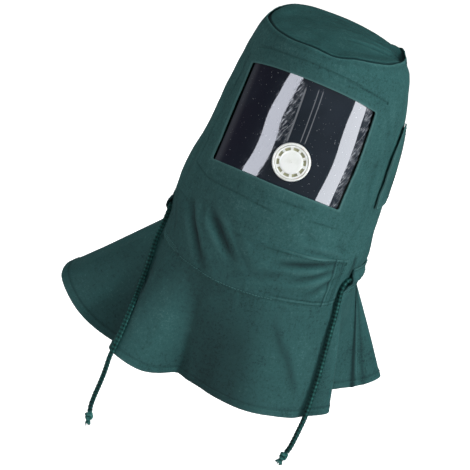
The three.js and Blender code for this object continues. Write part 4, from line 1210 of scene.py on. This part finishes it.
def make_valve():
    rim_in = VENT_RADIUS - RIM_WIDTH
    seat = CAP_TOP - CAP_THICKNESS - GAP
    # radius, height, and the shade painted there: in the recesses and where it meets the lens
    body = [
        (VENT_BORE_RADIUS, -VENT_BARREL_DEPTH, 0.3), (BARREL - 0.4, -VENT_BARREL_DEPTH, 0.3),
        (BARREL, 0.4 - VENT_BARREL_DEPTH, 0), (BARREL, LENS_TOUCH, 0.3), (VENT_RADIUS - 0.5, LENS_TOUCH, 0.4),
        (VENT_RADIUS - 0.1, LENS_TOUCH + 0.3, 0.3), (VENT_RADIUS, 1.6, 0), (VENT_RADIUS - 0.1, 3.9, 0),
        (VENT_RADIUS - 0.5, 4.7, 0), (VENT_RADIUS - 1.1, 5.15, 0), (VENT_RADIUS - 1.6, 5.2, 0),
        (rim_in + 0.5, 5.1, 0.1), (rim_in, 4.6, 0.5), (rim_in, seat, 1), (CHAMBER, seat, 1),
        (CHAMBER, 1.2, 1), (VENT_BORE_RADIUS, 1.2, 1),
    ]
    piece = turned("valve_body", [row[:2] for row in body], [row[2] for row in body])
    dress(piece, VENT_MAT, "vent", "vent_body")
    inside, top = BARREL + GAP, -LENS_THICKNESS - RING_DEPTH
    foot = top - VENT_RING_HEIGHT
    ring = [(inside, foot), (VENT_RING_RADIUS - 0.5, foot), (VENT_RING_RADIUS, foot + 0.5),
            (VENT_RING_RADIUS, top), (inside, top)]
    dress(turned("valve_ring", ring), VENT_MAT, "vent", "vent_ring")
    radii, face = CAP_FACE.T
    per_slot = CAP_SIDES // VENT_SLOTS
    place = np.arange(CAP_SIDES) % per_slot
    open_columns = (place >= SLOT_EDGE) & (place < per_slot - SLOT_EDGE)
    holes = np.zeros((CAP_SIDES, len(radii) - 1), bool)
    holes[np.ix_(open_columns, np.arange(8, 12))] = True
    wear_and_painted_light = np.zeros((CAP_SIDES, len(radii)))
    # painted shade round the slots
    wear_and_painted_light[:, 7:13] = 0.15
    cap = vent_disc("valve_cap", radii, lambda turn: face + CAP_TOP, lambda turn: CAP_TOP - CAP_THICKNESS,
                    CAP_SIDES, holes, wear_and_painted_light, 35)
    dress(cap, VENT_MAT, "vent", "vent_cap")
    # an olive disc in the chamber that shows through the slots, darker than the valve: painted shade of the
    # valve's inside
    disc = vent_disc("valve_disc", np.array([0.3, 4, 8, 12, 15, CHAMBER - 0.3]),
                     lambda turn: SHADE_DISC_HEIGHT + 0.15 * np.sin(9 * turn),
                     lambda turn: SHADE_DISC_HEIGHT - SHADE_DISC_THICKNESS + 0.15 * np.sin(9 * turn), 72)
    dress(disc, VENT_INSIDE_SHADE_MAT, "vent")


make_valve()


# The slot's flap
FLAP_REAR_ANGLE = FLAP_FRONT_ANGLE + FLAP_WIDTH * float(degrees_per_mm(FLAP_TOP_Z - FLAP_HEIGHT / 2))


def unit_grid(columns, rows):
    return np.linspace(0, 1, columns)[:, None], np.linspace(0, 1, rows)[None]


def make_flap():
    u, v = unit_grid(34, 56)
    cut = FLAP_CORNER_CUT * float(degrees_per_mm(FLAP_TOP_Z))
    front = FLAP_FRONT_ANGLE + cut * np.maximum(0, 1 - v / 0.4) ** 1.5
    angle = front + (FLAP_REAR_ANGLE - front) * u
    z = FLAP_TOP_Z - FLAP_HEIGHT * v + 0 * u
    lift = LAYER_GAP + FLAP_LIFT * (1 - u) ** 2 * (0.75 + 0.25 * np.sin(4.2 * v + 0.4))
    edge = np.minimum(np.minimum((1 - u) * 40, u * 40), np.minimum(v, 1 - v) * FLAP_HEIGHT)
    hem = 0.35 * smoothstep(7, 5.6, edge)
    lift = lift + body_detail(angle, z) * 0.8 + 0.25 * np.sin(v * 21 + 3 * u)
    outer = on_body(angle, z, lift + CANVAS + hem)
    inner = on_body(angle, z, lift)
    uv = np.stack([np.radians(angle) * CLOTH_RADIUS, z], -1)
    # pale along the flap's edges: partly wear, partly painted highlight
    piece = sheet_mesh("flap_cloth", outer, inner, uv, wear_and_painted_light=marks((edge, 1.3, 0.8), (edge - 5, 2, 0.15)))
    return dress(piece, CANVAS_MAT, "canvas", "slot_flap")


flap_cloth = make_flap()


# The neck band and the casing
TAPE_ANGLE = 51.2
CASING_ARCH = 7.2
CASING_SPARE = 0.35


def band_detail(angle, z):
    total = body_detail(angle, z) + pucker(np.radians(angle) * 116, z - neck_seam_z(angle) - 6, 7, 0.22, 9)
    tape = smoothstep(TAPE_ANGLE, TAPE_ANGLE + 0.6, angle)
    return total + 0.3 * hill((BAND_TOP_Z - z - 2.5) / 2.4) + 0.3 * tape


def make_band():
    u, v = unit_grid(250, 60)
    angle = BAND_LEFT + (BAND_RIGHT - BAND_LEFT) * u + 0 * v
    foot = neck_seam_z(angle)
    z = BAND_TOP_Z + (foot - BAND_TOP_Z) * v
    detail = band_detail(angle, z)
    # the top edge lies flush but for its right end
    flush = (1 - smoothstep(9, 30, angle)) * hill((BAND_TOP_Z - z) / 12)
    outer = on_body(angle, z, (LAYER_GAP + CANVAS) * (1 - 0.86 * flush) + detail)
    inner = on_body(angle, z, LAYER_GAP - 1.6 * flush + detail)
    end = np.minimum(angle - BAND_LEFT, BAND_RIGHT - angle) * 2.0
    rise = z - foot
    sides = np.maximum(smoothstep(-37, -41, angle), smoothstep(18, 24, angle))
    tape = angle - TAPE_ANGLE
    # painted light and shade on the band: painted highlights on its top edge and ends, painted highlight and
    # shade along the tape's edges and along the hem lines at its foot, and painted shade in the creases
    wear_and_painted_light = marks((BAND_TOP_Z - z, 1.4, 0.5 * (1 - flush)), (end, 1.4, 0.2), (tape - 1.1, 0.5, 0.4),
                 (tape, 0.5, -0.8), (tape - 5.4, 0.5, -0.5), (rise, 2.5, 0.2), (rise - 1.7, 0.9, -0.45),
                 (rise - 3.9, 1.2, 0.35 * sides), (rise - 6.1, 0.9, -0.5 * sides))
    wear_and_painted_light = wear_and_painted_light - crease_shade(angle, z) - 0.14
    uv = np.stack([np.radians(angle) * CLOTH_RADIUS, z], -1)
    return dress(sheet_mesh("band_cloth", outer, inner, uv, wear_and_painted_light=wear_and_painted_light), CANVAS_MAT, "canvas", "neck_band")


band_cloth = make_band()


def gathers(along):
    bend = 4 * np.sin(along / 23.0)
    total = 0.3 * np.sin(math.tau * (along + bend) / 9.5) + 0.22 * np.sin(math.tau * (along - bend) / 5.9 + 1)
    return total + 0.3 * np.sin(math.tau * along / 17 + 2)


def on_casing(angle, v, out):
    """Points of the casing's under side moved out, v from 0 at its top edge to 1 at its foot."""
    z = casing_middle_z(angle) + CASING_HEIGHT * (0.5 - v)
    arch = np.minimum(1, 1.12 * hill((v - 0.5) * CASING_HEIGHT / CASING_ARCH))
    lift = LAYER_GAP + (CORD_DIAMETER + CORD_CLEARANCE + CASING_SPARE) * arch
    lift = lift + gathers(np.radians(angle) * NECK_CLOTH_RADIUS) * (0.35 + 0.65 * np.sin(np.pi * v))
    return z, on_body(angle, z, lift + soft_waves(angle, z) * 0.5 - cinch(angle, z) + out)


def make_casing():
    u, v = unit_grid(260, 26)
    angle = CASING_RIGHT + (360 + CASING_LEFT - CASING_RIGHT) * u + 0 * v
    z, inner = on_casing(angle, v, 0)
    outer = on_casing(angle, v, CANVAS)[1]
    along = np.radians(angle) * NECK_CLOTH_RADIUS
    mouth = np.minimum(along - along[0], along[-1] - along)
    # painted highlights along the casing's edges and painted shadow at its mouths
    wear_and_painted_light = marks((v, 0.05, 0.6), (1 - v, 0.05, 0.4), (mouth, 2.5, -0.5))
    piece = sheet_mesh("casing_cloth", outer, inner, np.stack([along, z], -1), wear_and_painted_light=wear_and_painted_light)
    return dress(piece, CANVAS_MAT, "canvas", "cord_casing")


casing_cloth = make_casing()


# The cape. Its creases stand out: from and to as hem angle and share down; then width and height
CAPE_CREASES = [
    (38, 0.34, 49, 0.80, 5.0, 3.4),
    (29, 0.16, 40, 0.50, 5.0, 1.8),
    (-40, 0.05, -30, 0.35, 5.0, 1.0),
    (-20, 0.05, -12, 0.45, 6.0, 0.9),
    (5, 0.02, 2, 0.30, 6.0, 0.7),
    (57, 0.03, 58, 0.30, 4.0, 1.0),
    (-66, 0.05, -72, 0.40, 6.0, 1.0),
    (-84, 0.05, -80, 0.60, 7.0, 1.0),
    (90, 0.05, 84, 0.50, 6.0, 1.0),
    (104, 0.10, 100, 0.60, 5.0, 0.9),
    (128, 0.05, 132, 0.50, 6.0, 1.0),
    (-150, 0.05, -146, 0.45, 6.0, 1.0),
    (174, 0.05, 180, 0.40, 6.0, 0.9),
    (-114, 0.05, -112, 0.45, 6.0, 1.0),
]
SHADED_CREASES = 2
CAPE_SEAMS = (101.2, -97.5)
CAPE_STRETCH = 2.5
# broad rolls of its front: hem angle, half width in degrees, depth, and the shade painted on it
CAPE_ROLLS = [
    (-22, 10, 2.4, -0.06),
    (-4, 7, -1.6, 0.16),
    (13, 13, -2.6, 0.30),
    (43, 8, 2.2, -0.04),
    (-60, 20, -1.2, 0.22),
    (-74, 8, 1.2, 0.0),
]


def cape_rolls(angle, t, column):
    rolls = marks(*((wrapped(angle - row[0]), row[1], row[column]) for row in CAPE_ROLLS))
    return rolls * smoothstep(0.05, 0.45, t)


def cape_detail(angle, t):
    """How far the cape's face lies in from the smooth surface."""
    turn = np.radians(angle)
    down, edge = t * CAPE_LENGTH, (1 - t) * CAPE_LENGTH
    total = cape_rolls(angle, t, 2) + pucker(turn * CAPE_GATHER_RADIUS, down, 13, 0.3, 15)
    total = total + pucker(turn * CAPE_GATHER_RADIUS, edge - HEM_WIDTH, 7, 0.16, 9)
    total = total + 0.7 * np.sin(turn * 9 + 4 * t) * t + 0.4 * np.sin(turn * 17 - 6 * t + 1) * t
    for *line, width, height in CAPE_CREASES:
        apart, k = from_line(angle, t, *line, CAPE_STRETCH, CAPE_LENGTH)
        total = total - height * taper(k, 0.06) * np.exp(-np.sqrt(apart ** 2 + 0.6) / width * 1.3)
    for seam in CAPE_SEAMS:
        apart = wrapped(angle - seam) * CAPE_STRETCH
        total = total + marks((apart, 0.9, -1.3), (apart - 3, 2.0, 0.7), (apart - 5.6, 0.8, -0.5))
        total = total + pucker(down, apart, 5, 0.14, 8)
    return total - 0.3 * hill((edge - HEM_WIDTH - 0.4) / 0.8)


def cape_grid(columns, rows):
    """Even columns, but close ones beside the seams, and close rows in the hem."""
    angle = np.arange(columns) / columns * 360.0 - 180.0
    far = np.min([np.abs(angle - seam) for seam in CAPE_SEAMS], axis=0) > 3.3
    angle = np.sort(np.concatenate([angle[far]] + [seam + np.linspace(-3, 3, 25) for seam in CAPE_SEAMS]))
    hem_start = 1 - HEM_WIDTH / CAPE_LENGTH
    t = np.concatenate([np.linspace(0, hem_start, rows - 9)[:-1], np.linspace(hem_start, 1, 10)])
    return np.meshgrid(angle, t, indexing="ij")


def make_cape():
    angle, t = cape_grid(400, 66)
    edge = (1 - t) * CAPE_LENGTH
    hem = smoothstep(HEM_WIDTH + 0.4, HEM_WIDTH - 0.6, edge)
    # the cloth thins to a round at its very edge
    roll = np.sqrt(np.clip(1 - (1 - np.clip(edge / 0.9, 0, 1)) ** 2, 0, 1))
    half = (CANVAS + HEM_EXTRA * hem) / 2 * (0.25 + 0.75 * roll)
    face = along_normals(on_cape(angle, t), cape_detail(angle, t), ring=True)
    centre = along_normals(face, CANVAS / 2, ring=True)
    face, back = (along_normals(centre, way * half, ring=True) for way in (-1, 1))
    # painted light and shade on the cape: a pale edge and hem, partly wear and partly painted highlight,
    # painted shade along the hem's stitch line and a painted highlight below the neck seam
    wear_and_painted_light = marks((edge, 1.2, 0.75), (edge - HEM_WIDTH + 1.5, 2, 0.15), (edge - HEM_WIDTH - 0.4, 1.2, -0.5),
                 (t * CAPE_LENGTH, 3, 0.2))
    # painted shade and highlight of the broad rolls, and a little darker overall
    wear_and_painted_light = wear_and_painted_light - cape_rolls(angle, t, 3) - 0.17
    # painted shade in the first creases
    for *line, _, _ in CAPE_CREASES[:SHADED_CREASES]:
        apart, k = from_line(angle, t, *line, CAPE_STRETCH, CAPE_LENGTH)
        wear_and_painted_light = wear_and_painted_light - 0.45 * taper(k, 0.06) * hill(apart / 4.5)
    # painted shade in the seams' grooves and painted highlight on their ridges
    for seam in CAPE_SEAMS:
        apart = wrapped(angle - seam) * CAPE_STRETCH
        wear_and_painted_light = wear_and_painted_light + marks((apart, 1.2, -1), (apart - 2.6, 0.9, 0.3), (apart - 5.6, 0.9, -0.4))
    uv = np.stack([np.radians(angle) * NECK_CLOTH_RADIUS, -t * CAPE_LENGTH], -1)
    return dress(sheet_mesh("cape_cloth", face, back, uv, ring=True, wear_and_painted_light=wear_and_painted_light), CANVAS_MAT, "canvas", "cape")


cape_cloth = make_cape()


# Stitching
STITCH_LENGTH = 2.5
STITCH_GAP = 0.9
STITCH_STEP = STITCH_LENGTH + STITCH_GAP
STITCH_RADIUS = 0.36
TACK_STEP = 0.55


def stitch_rows(name, lines, radius=STITCH_RADIUS, thread=SHADED_THREAD_MAT):
    """Rows of single stitches along lines of points that lie on the cloth."""
    pile = Pile()
    thick = radius * np.array([0.45, 0.85, 1, 1, 0.85, 0.45])[:, None]
    share = np.array([0, 0.12, 0.4, 0.6, 0.88, 1])
    for line in lines:
        for k in range(int(line_length(line) / STITCH_STEP)):
            start = k * STITCH_STEP + STITCH_GAP / 2
            pile.tube(at_lengths(line, start + STITCH_LENGTH * share), lambda a, s: thick + 0 * a, 6)
    return dress(pile.build(name, 80), thread, "canvas")


def body_line(points, out=0.12, detail=body_detail):
    """A line on the body through (angle, height) pairs."""
    p = np.asarray(points, float)
    steps = np.concatenate([[0], np.cumsum(np.hypot(np.diff(p[:, 0]) * 2, np.diff(p[:, 1])))])
    at = np.linspace(0, steps[-1], max(4, int(steps[-1] / 1.5)))
    angle, z = (np.interp(at, steps, column) for column in p.T)
    return on_body(angle, z, detail(angle, z) + out)


def window_line(offset, start, end):
    """A line that runs a fixed distance above the window."""
    s = np.linspace(start, end, 120)
    z = window_top_z(s) + offset
    return np.stack([s * degrees_per_mm(z), z], -1)


def around_line(first, last, height):
    angle = np.linspace(first, last, max(8, int(abs(last - first))))
    return np.stack([angle, height(angle)], -1)


def band_out(angle, z):
    return band_detail(angle, z) + LAYER_GAP + CANVAS


def neck_line(first, last, rise):
    """A line on the band at a fixed height over the neck seam."""
    return body_line(around_line(first, last, lambda a: neck_seam_z(a) + rise), detail=band_out)


def upright_line(angle, top, bottom, detail=band_out):
    return body_line([(angle, top), (angle, bottom)], detail=detail)


stitch_rows("stitches_body", [
    body_line(window_line(17.5, -88, 60)),
    body_line([(31.4, -34), (44, -38.5), (56.1, -45)]),
    body_line([(-55.5, -50), (-57, -110), (-56, -186)]),
    body_line([(-55, -186), (-38.4, -190), (-12.4, -187), (6.6, -190)]),
    body_line([(28.5, -188), (45.1, -191)]),
    body_line([(6.6, -176), (25, -177)]),
    body_line(around_line(100, 250, lambda a: crown_seam_z(a) - 2.6)),
    body_line(around_line(60, 294, lambda a: neck_seam_z(a) + 2.2)),
    upright_line(180, -14, -262, body_detail),
    upright_line(183.4, -14, -262, body_detail),
])
# the closed bar of pale stitches that the photo shows at the left of the band ends here
BAR_END = -39.0
bar_foot = float(neck_seam_z(BAR_END))
stitch_rows("stitches_neck", [
    neck_line(BAND_LEFT + 1, BAR_END, 1.8),
    neck_line(BAND_LEFT + 1, BAR_END, 6.2),
    upright_line(BAR_END, bar_foot + 1.8, bar_foot + 6.2),
    neck_line(BAR_END + 3, 22, 1.6),
], STITCH_RADIUS * 1.25, PALE_THREAD_MAT)
stitch_rows("stitches_band", [
    neck_line(22, BAND_RIGHT - 1, 1.8),
    neck_line(22, BAND_RIGHT - 1, 6.0),
    body_line(around_line(8, BAND_RIGHT - 1, lambda a: -228.0 + 0 * a), detail=band_out),
    upright_line(53.3, -226, -276),
    upright_line(57.8, -229, -276),
    upright_line(BAND_LEFT + 1.2, -227, -280),
])
casing_angles = np.linspace(CASING_RIGHT + 0.6, 360 + CASING_LEFT - 0.6, 400)
stitch_rows("stitches_casing", [on_casing(casing_angles, share, CANVAS + 0.15)[1] for share in (0.07, 0.93)])


def flap_line(inset, share):
    """An upright line near the flap's sewn edge, share of the way to it."""
    lift = LAYER_GAP + FLAP_LIFT * (1 - share) ** 2 * 0.8 + CANVAS + 0.3
    return upright_line(FLAP_REAR_ANGLE - inset, FLAP_TOP_Z - 3, FLAP_TOP_Z - FLAP_HEIGHT + 3,
                        lambda a, z: body_detail(a, z) * 0.8 + lift)


stitch_rows("stitches_flap", [flap_line(1.6, 0.93), flap_line(3.8, 0.83)])


def cape_line(angle, t, out):
    """A line on the cape through arrays of hem angle and share down."""
    across = on_cape(angle + 0.4, t) - on_cape(angle - 0.4, t)
    down = on_cape(angle, t + 0.004) - on_cape(angle, t - 0.004)
    inward = np.cross(across, down)
    inward /= np.linalg.norm(inward, axis=-1, keepdims=True)
    return on_cape(angle, t) + inward * (cape_detail(angle, t) - out)[:, None]


hem_angles = np.linspace(-180, 180, 900)
seam_shares = np.linspace(0.02, 0.98, 60)
cape_lines = [cape_line(hem_angles, np.full(900, 1 - 7.6 / CAPE_LENGTH), 0.6)]
for seam in CAPE_SEAMS:
    cape_lines += [cape_line(np.full(60, seam + apart), seam_shares, 0.15) for apart in (1.2, 2.9)]
stitch_rows("stitches_cape", cape_lines)


def bar_tack(angle, z, width, height, detail=body_detail):
    """The lines of a small block of close stitches."""
    count = int(width / TACK_STEP)
    starts = [angle + (k - count / 2) * TACK_STEP / 2.0 for k in range(count)]
    return [body_line([(a, z + height / 2), (a + 0.12, z - height / 2)], 0.3, detail) for a in starts]


tacks = Pile()
for line in (bar_tack(56.4, -45.4, 2.4, 3.4) + bar_tack(81.6, -162, 3.2, 3.2)
             + bar_tack(BAND_RIGHT - 1.2, -229, 2.4, 3.4, band_out)):
    tacks.tube(line, 0.4, 6)
dress(tacks.build("stitches_tacks", 80), SHADED_THREAD_MAT, "canvas")

# Floor and light, in metres
FLOOR_Z = -0.6
FLOOR_HALF = 9.0
BACKDROP_START = 5.0
BACKDROP_RISE = 4.0


def make_floor():
    """A floor that curves up into a backdrop on all sides."""
    count = 49
    at = np.linspace(-FLOOR_HALF, FLOOR_HALF, count)
    x, y = np.meshgrid(at, at, indexing="ij")
    rise = BACKDROP_RISE * smoothstep(BACKDROP_START, FLOOR_HALF, np.hypot(x, y))
    points = np.stack([x, y, FLOOR_Z + rise], -1).reshape(-1, 3) / MM
    corners = [i * count + j for i in range(count - 1) for j in range(count - 1)]
    floor = link("floor", points, [(a, a + count, a + count + 1, a + 1) for a in corners])
    floor.data.materials.append(floor_material())
    floor.visible_diffuse = False
    floor.visible_glossy = False
    floor.visible_shadow = False


make_floor()

WHITE = (1.0, 1.0, 1.0)
LIGHTS = [
    # name, azimuth, distance, height, width, tall, watts, height of its aim, colour, roll
    ("key", 66, 2.2, 0.8, 0.8, 0.8, 54, -0.2, WHITE, 0),
    ("front", 16, 2.4, 0.9, 1.0, 1.0, 13, -0.2, WHITE, 0),
    ("fill", -72, 2.2, -0.25, 1.4, 1.0, 11, -0.2, WHITE, 0),
    ("back_left", -128, 2.4, 0.1, 1.4, 1.2, 15, -0.2, WHITE, 0),
    ("back_right", 150, 2.4, 0.15, 1.4, 1.2, 18, -0.2, WHITE, 0),
    ("strip_left", -34.7, 1.3, -0.21, 0.345, 1.6, 40, -0.1, (0.86, 0.89, 1.0), -37),
    ("strip_right", 59, 1.3, -0.21, 0.34, 1.6, 46, -0.1, (0.90, 0.93, 1.0), -39),
]
for name, azimuth, distance, height, width, tall, watts, aim_z, colour, roll in LIGHTS:
    data = bpy.data.lights.new(name, "AREA")
    data.shape = "RECTANGLE"
    data.size = width
    data.size_y = tall
    data.energy = watts
    data.color = colour
    lamp = bpy.data.objects.new(name, data)
    bpy.context.scene.collection.objects.link(lamp)
    turn = math.radians(azimuth)
    place = Vector((math.sin(turn) * distance, -math.cos(turn) * distance, height))
    facing = (Vector((0, 0, aim_z)) - place).to_track_quat("-Z", "Y").to_matrix()
    facing = facing @ Matrix.Rotation(math.radians(roll), 3, "Z")
    lamp.matrix_world = Matrix.Translation(place) @ facing.to_4x4()
    # the two strips are the bands that the lens mirrors, and light nothing else
    gloss_only = name.startswith("strip")
    lamp.visible_camera = False
    lamp.visible_glossy = gloss_only
    lamp.visible_diffuse = not gloss_only
    lamp.visible_transmission = not gloss_only
    lamp.visible_volume_scatter = not gloss_only


def make_world():
    """Soft light that is strong from above and in front, weak from below."""
    world = bpy.data.worlds.new("world")
    world.use_nodes = True
    tree = world.node_tree
    back = tree.nodes["Background"]
    way = tree.nodes.new("ShaderNodeTexCoord")
    toward = tree.nodes.new("ShaderNodeVectorMath")
    toward.operation = "DOT_PRODUCT"
    tree.links.new(way.outputs["Generated"], toward.inputs[0])
    toward.inputs[1].default_value = (0.5, -0.5, 0.7)
    rise = tree.nodes.new("ShaderNodeMapRange")
    rise.interpolation_type = "SMOOTHSTEP"
    tree.links.new(toward.outputs["Value"], rise.inputs["Value"])
    for key, value in (("From Min", -0.4), ("From Max", 0.95), ("To Min", 0.10), ("To Max", 0.74)):
        rise.inputs[key].default_value = value
    tree.links.new(rise.outputs["Result"], back.inputs["Strength"])
    back.inputs["Color"].default_value = (1.0, 1.0, 1.0, 1.0)
    bpy.context.scene.world = world


make_world()
bpy.context.scene.view_settings.view_transform = "Standard"
